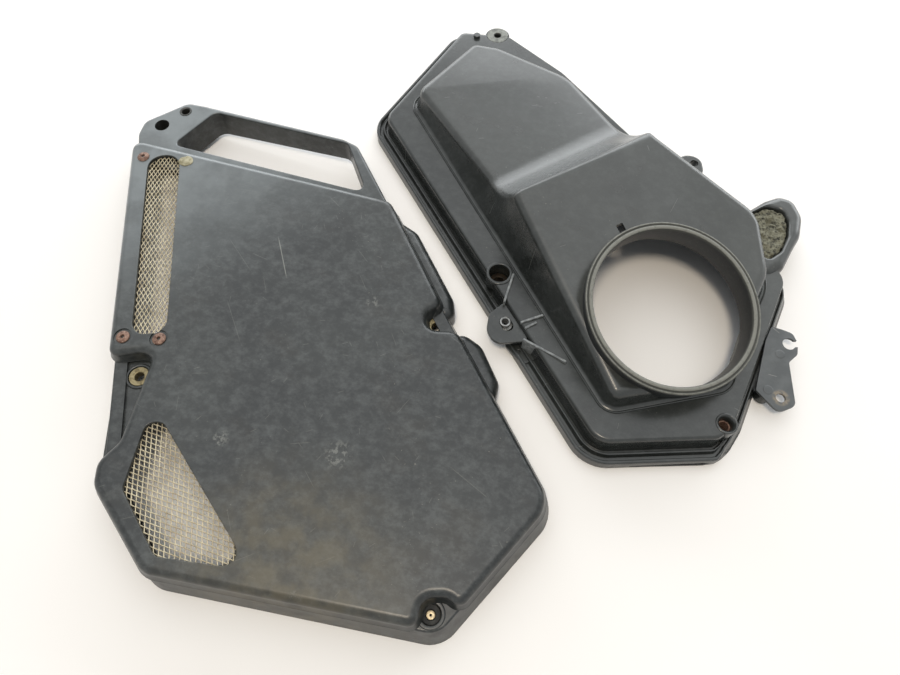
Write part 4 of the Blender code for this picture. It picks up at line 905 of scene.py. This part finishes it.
def make_scoop():
    bm = outline(SCOOP, finer=1.4)
    marks = (-44, -40, -36, -32, -28, -24, -20, -16, -12, -9, -6, -4, -2.6, -1.6, -0.8, 0, 0.8, 1.6, 2.6, 4)
    for mark in marks:
        at = Vector((CREASE_AT[0] + ACROSS[0] * mark, CREASE_AT[1] + ACROSS[1] * mark, 0)) * MM
        bmesh.ops.bisect_plane(
            bm, geom=bm.verts[:] + bm.edges[:] + bm.faces[:], dist=1e-7, plane_co=at, plane_no=(*ACROSS, 0))
    bmesh.ops.remove_doubles(bm, verts=bm.verts, dist=0.25 * MM)
    bm.normal_update()

    def rolled(turn):
        """A ring of the scoop's rounded top edge, at that angle of the turn from wall to top."""
        def ring(place, step):
            inset, top = scoop_rim(place, step)
            t = math.radians(turn)
            return inset - SCOOP_EDGE * math.cos(t), top - SCOOP_EDGE * (1 - math.sin(t))
        return ring

    # A thin bead along the wall's foot, a small fillet, the wall and its rolled top
    rings = [
        (-4.4, DECK_TOP), (-4.2, 23.9), (-3.6, 24.3), (-3, 23.9), (-2.7, 23.5), (-1.4, 23.9), (-0.5, 24.9),
        (0, 26.4), *[rolled(angle) for angle in (0, 15, 30, 45, 60, 75, 90)],
    ]
    scoop = linked("scoop", raised(bm, rings, foot=False), case_at)
    thicken(scoop, CASE_WALL)
    mouth = [(0, -30), (MOUTH_R, -30), (MOUTH_R, 30), (0, 30)]
    hole = turned("mouth", mouth, case_at, 96, False, collar_place())
    turn = Matrix.Rotation(math.radians(25), 2)
    corners = ((-2.7, -4), (2.7, -4), (2.7, 4), (-2.7, 4))
    clip = [(*(turn @ Vector(p) + Vector(CLIP_AT)), 0.8) for p in corners]
    carve(scoop, hole, prism("clip_hole", clip, 30, 90, case_at))
    scoop.data.shade_smooth()
    scoop.data.set_sharp_from_angle(angle=math.radians(38))
    return scoop


def collar_tilt():
    """The collar leans with the face it stands on."""
    return Matrix.Rotation(math.atan(TILT), 4, Vector((-ACROSS[1], ACROSS[0], 0)))


def collar_place():
    """Where the collar's own axes lie in the case."""
    return Matrix.Translation(spot(COLLAR_AT, Vector(), scoop_top(*COLLAR_AT))) @ collar_tilt()


def make_fin(name, a, b, low, tops):
    """A thin upright rib whose top slopes from one end to the other."""
    a, b = Vector(a), Vector(b)
    way = b - a
    side = FIN_HALF * Vector((-way.y, way.x)).normalized()

    def top(place, step):
        share = (place.xy - a).dot(way) / way.length_squared
        return 0, tops[0] + (tops[1] - tops[0]) * share

    corners = [(*p, 0.3) for p in (a - side, b - side, b + side, a + side)]
    return linked(name, raised(outline(corners), [(0, low), top]), case_at)


def make_deck():
    """Stepped flange and deck in one, hollow below, open under the scoop, the pockets and the tab's screw."""
    def lipped(inset, height):
        """The flange is narrower along the right side, and less so at its foot."""
        def ring(place, step):
            narrow = min(max((-step.normalized().x - 0.2) / 0.4, 0), 1)
            return inset * (1 - narrow * (0.14 if height < 1 else 0.44)), height
        return ring

    steps = [
        (-13, 0), (-13, 7.6), (-12.7, 8.5), (-12, 9), (-10.8, 9), (-10.3, 8.6), (-10, 6.5), (-9.6, 6),
        (-7.6, 6), (-7.2, 6.5), (-6.9, 9.4), (-6.5, 10), (-5.7, 10), (-5.3, 9.5), (-4.9, 7.5), (-4.5, 7),
        (-3.3, 7), (-2.9, 7.6), (-2.1, 19.4), (-1.7, 21.2), (-0.9, 22.4), (0.4, DECK_TOP), (2.4, DECK_TOP),
    ]
    deck = linked("deck_and_flange", raised(outline(DECK), [lipped(*step) for step in steps]), case_at)
    hollow = [(-10, -3), (-10, 3), (0, 4), (1, 18), (3, 20)]
    return carve(
        deck, linked("deck_hollow", raised(outline(DECK), hollow), case_at),
        prism("scoop_opening", grown(SCOOP, -0.6), -5, 40, case_at),
        peg("pocket_opening", POCKET_AT, 8.6, -5, 40, case_at),
        peg("corner_opening", CORNER_POCKET_AT, 6.4, -5, 40, case_at),
        peg("deck_tab_hole", TAB_AT, SCREW_R, -5, 40, case_at),
        peg("deck_washer_seat", TAB_AT, WASHER_R + WASHER_GAP, WASHER_SEAT, 40, case_at),
    )


def make_slot_lug():
    """The lug whose slot the sleeve slides in."""
    lug = prism("slot_lug", SLOT_LUG, 16, 19, case_at)
    way = Vector(SLOT_WAY)
    aside = Vector((-way.y, way.x))
    start, end = Vector(SLOT_LUG_AT), Vector(SLOT_LUG_AT) + SLOT_TRAVEL * way
    along, across = SLOT_HALF * way, SLOT_HALF * aside
    track = [start - along - across, end + along - across, end + along + across, start - along + across]
    return carve(lug, prism("slot_cut", [(*p, 4.0) for p in track], 10, 30, case_at))


def make_case():
    scoop = make_scoop()
    deck = make_deck()
    ear_rings = [(0, 4.2), (0, 8)] + quarter(EAR_ROLL, 0, EAR_TOP, 8)
    ear = linked("ear", raised(outline(EAR), ear_rings), case_at)
    carve(ear, prism("ear_recess", EAR_RECESS, EAR_FLOOR, EAR_TOP + PROUD, case_at, flare=EAR_FLARE))
    tab = peg("tab", TAB_AT, 11, 14, 22, case_at)
    carve(
        tab, peg("tab_hole", TAB_AT, SCREW_R, 0, 40, case_at),
        peg("washer_seat", TAB_AT, WASHER_R + WASHER_GAP, WASHER_SEAT, 40, case_at),
    )
    side_lug = prism("side_lug", SIDE_LUG, 12.2, 19.2, case_at, edge=2)
    carve(side_lug, peg("side_lug_hole", SIDE_LUG_AT, SCREW_R, 0, 40, case_at))
    slot_lug = make_slot_lug()
    low_plate = prism("low_plate", LOW_PLATE, 5.5, 8, case_at)
    carve(low_plate, peg("low_plate_hole", LOW_PLATE_HOLE, 1.5, 0, 20, case_at))
    fins = [make_fin(f"fin_{number}", *fin) for number, fin in enumerate(FINS)]
    plates = [low_plate, peg("stub", STUB_AT, 3, 12, 25.5, case_at)]
    deep = [(5.2, 5), (9.9, 5), (9.9, 23.4), (9.4, 23.8), (8, 23.8), (7.5, 23.3), (7.5, 11), (5.2, 11)]
    pocket = turned("pocket", deep, spot(POCKET_AT, case_at))
    dished = [(4.3, 5), (7.4, 5), (7.4, 23.2), (6.9, 23.6), (6.3, 23.6), (5.2, 22.6), (4.5, 21), (4.3, 19)]
    corner = turned("corner_pocket", dished, spot(CORNER_POCKET_AT, case_at))
    bosses = [peg(f"bracket_boss_{n}", at, 5.5, 1, 11.7, case_at) for n, at in enumerate(BRACKET_RIVETS)]
    for piece in (deck, ear, tab, side_lug, slot_lug, *fins, *plates, pocket, corner, *bosses):
        soften(piece, 0.45)
    for piece in (scoop, deck, ear, tab, side_lug, slot_lug, *plates, pocket, corner, *bosses):
        shown(piece, CASE_PLASTIC, "case_plastic", "case", "case_body")
    for piece in fins:
        shown(piece, RUBBED_PLASTIC, "case_plastic", "case", "case_body")


def make_collar():
    """The round collar, its rim doubled by a groove."""
    profile = [
        (55, -3), (57, -3), (57, -9), (59.3, -9), (59.2, 1.2), (59, 7.6), (59.4, 8.6), (60.4, 9.3), (61, 9.9),
        (61, 11), (60.6, 11.6), (59.9, 11.7), (59.4, 11.2), (58.9, 10.9), (58.5, 11.2), (58.2, 11.8),
        (57.6, 12), (56.6, 12), (55.8, 11.6), (55.4, 10.6),
    ]
    collar = turned("collar_ring", profile, case_at, 128, True, collar_place())
    collar.data.shade_smooth()
    collar.data.set_sharp_from_angle(angle=math.radians(50))
    axis = collar_tilt().to_3x3() @ Vector((0, 0, 1))
    middle = spot(COLLAR_AT, case_at, scoop_top(*COLLAR_AT))
    shown(collar, collar_rubber(middle, axis), "collar_rubber", "case", "intake_collar")


def make_case_metal():
    """Washer on the tab, bushes in the two pockets, and the sleeve in the slotted lug."""
    pieces = (
        ("zinc_washer", TAB_AT, 0.25, DULL_ZINC, "washer_steel", "case", "tab_washer", [
            (SCREW_R, 21.5), (WASHER_R, 21.5), (WASHER_R, 23), (SCREW_R, 23)]),
        # The deep bush is nearly black brass: painted shade deep in its pocket
        ("deep_bush", POCKET_AT, 0.2, SHADE_BLACK_BRASS, "bush_brass", "case", "pocket_bush", [
            (SCREW_R, 5), (BUSH_R, 5), (BUSH_R, 11.3), (BUSH_COLLAR_R, 11.3), (BUSH_COLLAR_R, 12.3),
            (4, 12.3), (SCREW_R, 11.7)]),
        # The insert takes the rusted steel's orange brown as a painted glint in the corner pocket
        ("brass_insert", CORNER_POCKET_AT, 0.15, RUST, "bush_brass", "case", "corner_insert", [
            (SCREW_R, 5), (4.2, 5), (4.2, 17.4), (3.9, 17.4), (SCREW_R, 16.8)]),
        ("bright_sleeve", SLOT_LUG_AT, 0.2, ZINC, "bush_brass", "sleeve", "lug_sleeve", [
            (2.6, 12), (5.5, 12), (5.5, 15.7), (3.9, 15.7), (3.9, 19.6), (2.6, 19.6)]),
    )
    for name, at, edge, finish, slot, body, node, profile in pieces:
        make_ring(name, profile, spot(at, case_at), edge, finish, slot, body, node)


def make_bracket():
    plate = prism("bracket_plate", BRACKET, BRACKET_TOP - BRACKET_THICK, BRACKET_TOP, case_at)
    x, y = HOOK_AT
    gap = [(x, y - 2.6, 0.5), (x + 12, y - 2.6, 0.5), (x + 12, y + 2.4, 0.5), (x, y + 2.4, 0.5)]
    carve(
        plate, peg("hook_eye", HOOK_AT, 4.6, 5, 20, case_at), prism("hook_gap", gap, 5, 20, case_at),
        peg("bracket_hole", BRACKET_HOLE, SCREW_R, 5, 20, case_at),
        *[peg(f"rivet_hole_{n}", at, BRACKET_RIVET_R + 0.2, 5, 20, case_at)
          for n, at in enumerate(BRACKET_RIVETS)],
    )
    soften(plate, 0.45)
    paint = painted_steel(spot(BRACKET_HOLE, case_at, BRACKET_TOP) / MM)
    shown(plate, paint, "bracket_steel", "case", "steel_bracket")
    seat = BRACKET_TOP + 0.05
    profile = [
        (0, seat + 0.25), (2.6, seat + 0.25), (3.4, seat + 0.1), (3.4, seat), (BRACKET_RIVET_R, seat),
        (BRACKET_RIVET_R, 4.5), (0, 4.5),
    ]
    for number, at in enumerate(BRACKET_RIVETS, 1):
        rivet = turned(f"plate_rivet_{number}", profile, spot(at, case_at), closed=False)
        shown(soften(rivet, 0.12, 40, 2), paint, "washer_steel", "case", f"bracket_rivet_{number}")


def make_foam():
    rings = [(0, EAR_FLOOR + 0.3), (0, 23), (0.8, 24), (2, 24.4)]
    pad = linked("crumbled_pad", raised(outline(grown(EAR_RECESS, -0.7)), rings), case_at)
    modify(pad, "REMESH", mode="VOXEL", voxel_size=0.55 * MM)
    settle(pad)
    roughen(pad, 4.5, 1.5, 5)
    roughen(pad, 1.6, 0.6, 9)
    pad.data.shade_smooth()
    shown(pad, old_foam(), "foam", "case", "foam_pad")


make_panel()
make_carrier()
make_mesh("upper_wire_mesh", UPPER_WINDOW, UPPER_WEAVE, 2.5, "upper_mesh")
make_mesh("lower_wire_mesh", LOWER_WINDOW, LOWER_WEAVE, 5.0, "lower_mesh")
make_rivets()
make_dab()
make_cover_metal()
make_case()
make_collar()
make_case_metal()
make_bracket()
make_foam()

# CAD nodes that are shown as they are
for node, finish in (
    ("upper_backing", DARK_STEEL), ("lower_backing", DARK_STEEL), ("filter_frame", frame_plastic()),
    ("filter_seal", RUBBER), ("filter_paper", pleat_paper()), ("case_seal", RUBBER),
):
    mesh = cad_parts[node].data
    mesh.materials.clear()
    mesh.materials.append(finish)


# White sheet, a warm lamp in front, a pale ceiling, a wide window behind, and the camera
ROOM_LEVEL = 0.27


def make_floor():
    m = Finish("matt_white_sheet", "#fbfaf9")
    m.stain("#fcfbfa", 1.0, m.patches(140.0, 0.4, 0.6))
    bm = bmesh.new()
    bmesh.ops.create_grid(bm, x_segments=1, y_segments=1, size=3.0)
    floor = linked("white_sheet", bm, Vector((0, 0, -0.0005)))
    floor.data.materials.append(m.done(0.9))


def make_light(name, at, size, power, colour):
    """A soft lamp aimed at the object; size is its width and height."""
    lamp = bpy.data.lights.new(name, "AREA")
    lamp.shape = "RECTANGLE"
    lamp.size, lamp.size_y = size
    lamp.energy = power
    lamp.color = colour
    made = bpy.data.objects.new(name, lamp)
    made.location = at
    made.rotation_euler = (-Vector(at)).to_track_quat("-Z", "Y").to_euler()
    bpy.context.scene.collection.objects.link(made)


def make_world():
    """An even room: white where it is seen or mirrored, dimmer as light."""
    world = bpy.data.worlds.new("even_room")
    world.use_nodes = True
    back = world.node_tree.nodes["Background"]
    rays = add(world.node_tree, "ShaderNodeLightPath", {})
    seen = rays["Is Camera Ray"]
    for kind in ("Is Glossy Ray", "Is Transmission Ray"):
        seen = add(world.node_tree, "ShaderNodeMath", {0: seen, 1: rays[kind]}, operation="MAXIMUM")[0]
    level = add(world.node_tree, "ShaderNodeMath", {
        0: seen, 1: 1 - ROOM_LEVEL, 2: ROOM_LEVEL}, operation="MULTIPLY_ADD")[0]
    feed(world.node_tree, back, {"Color": (0.95, 0.98, 1, 1), "Strength": level})
    bpy.context.scene.world = world


def make_camera():
    """A camera held over the near side of the layout, looking down at 63 degrees."""
    lens = bpy.data.cameras.new("camera")
    lens.sensor_width = 36
    lens.lens = 26.4
    camera = bpy.data.objects.new("camera", lens)
    camera.location = cover_at + Vector((0.1, -0.2242, 0.44))
    camera.rotation_euler = (math.radians(90 - 63), 0, 0)
    bpy.context.scene.collection.objects.link(camera)
    bpy.context.scene.camera = camera


make_floor()
make_light("warm_lamp", case_at + Vector((-0.22, -0.56, 1.4)), (0.22, 0.22), 7.5, (1, 0.86, 0.68))
make_light("pale_ceiling", (0, 0.4, 2.0), (3.0, 3.0), 26, (0.97, 0.99, 1))
make_light("wide_window", (0.3, 1.3, 0.45), (4.6, 0.8), 38, (0.95, 0.98, 1))
make_world()
make_camera()
bpy.context.scene.view_settings.view_transform = "Standard"
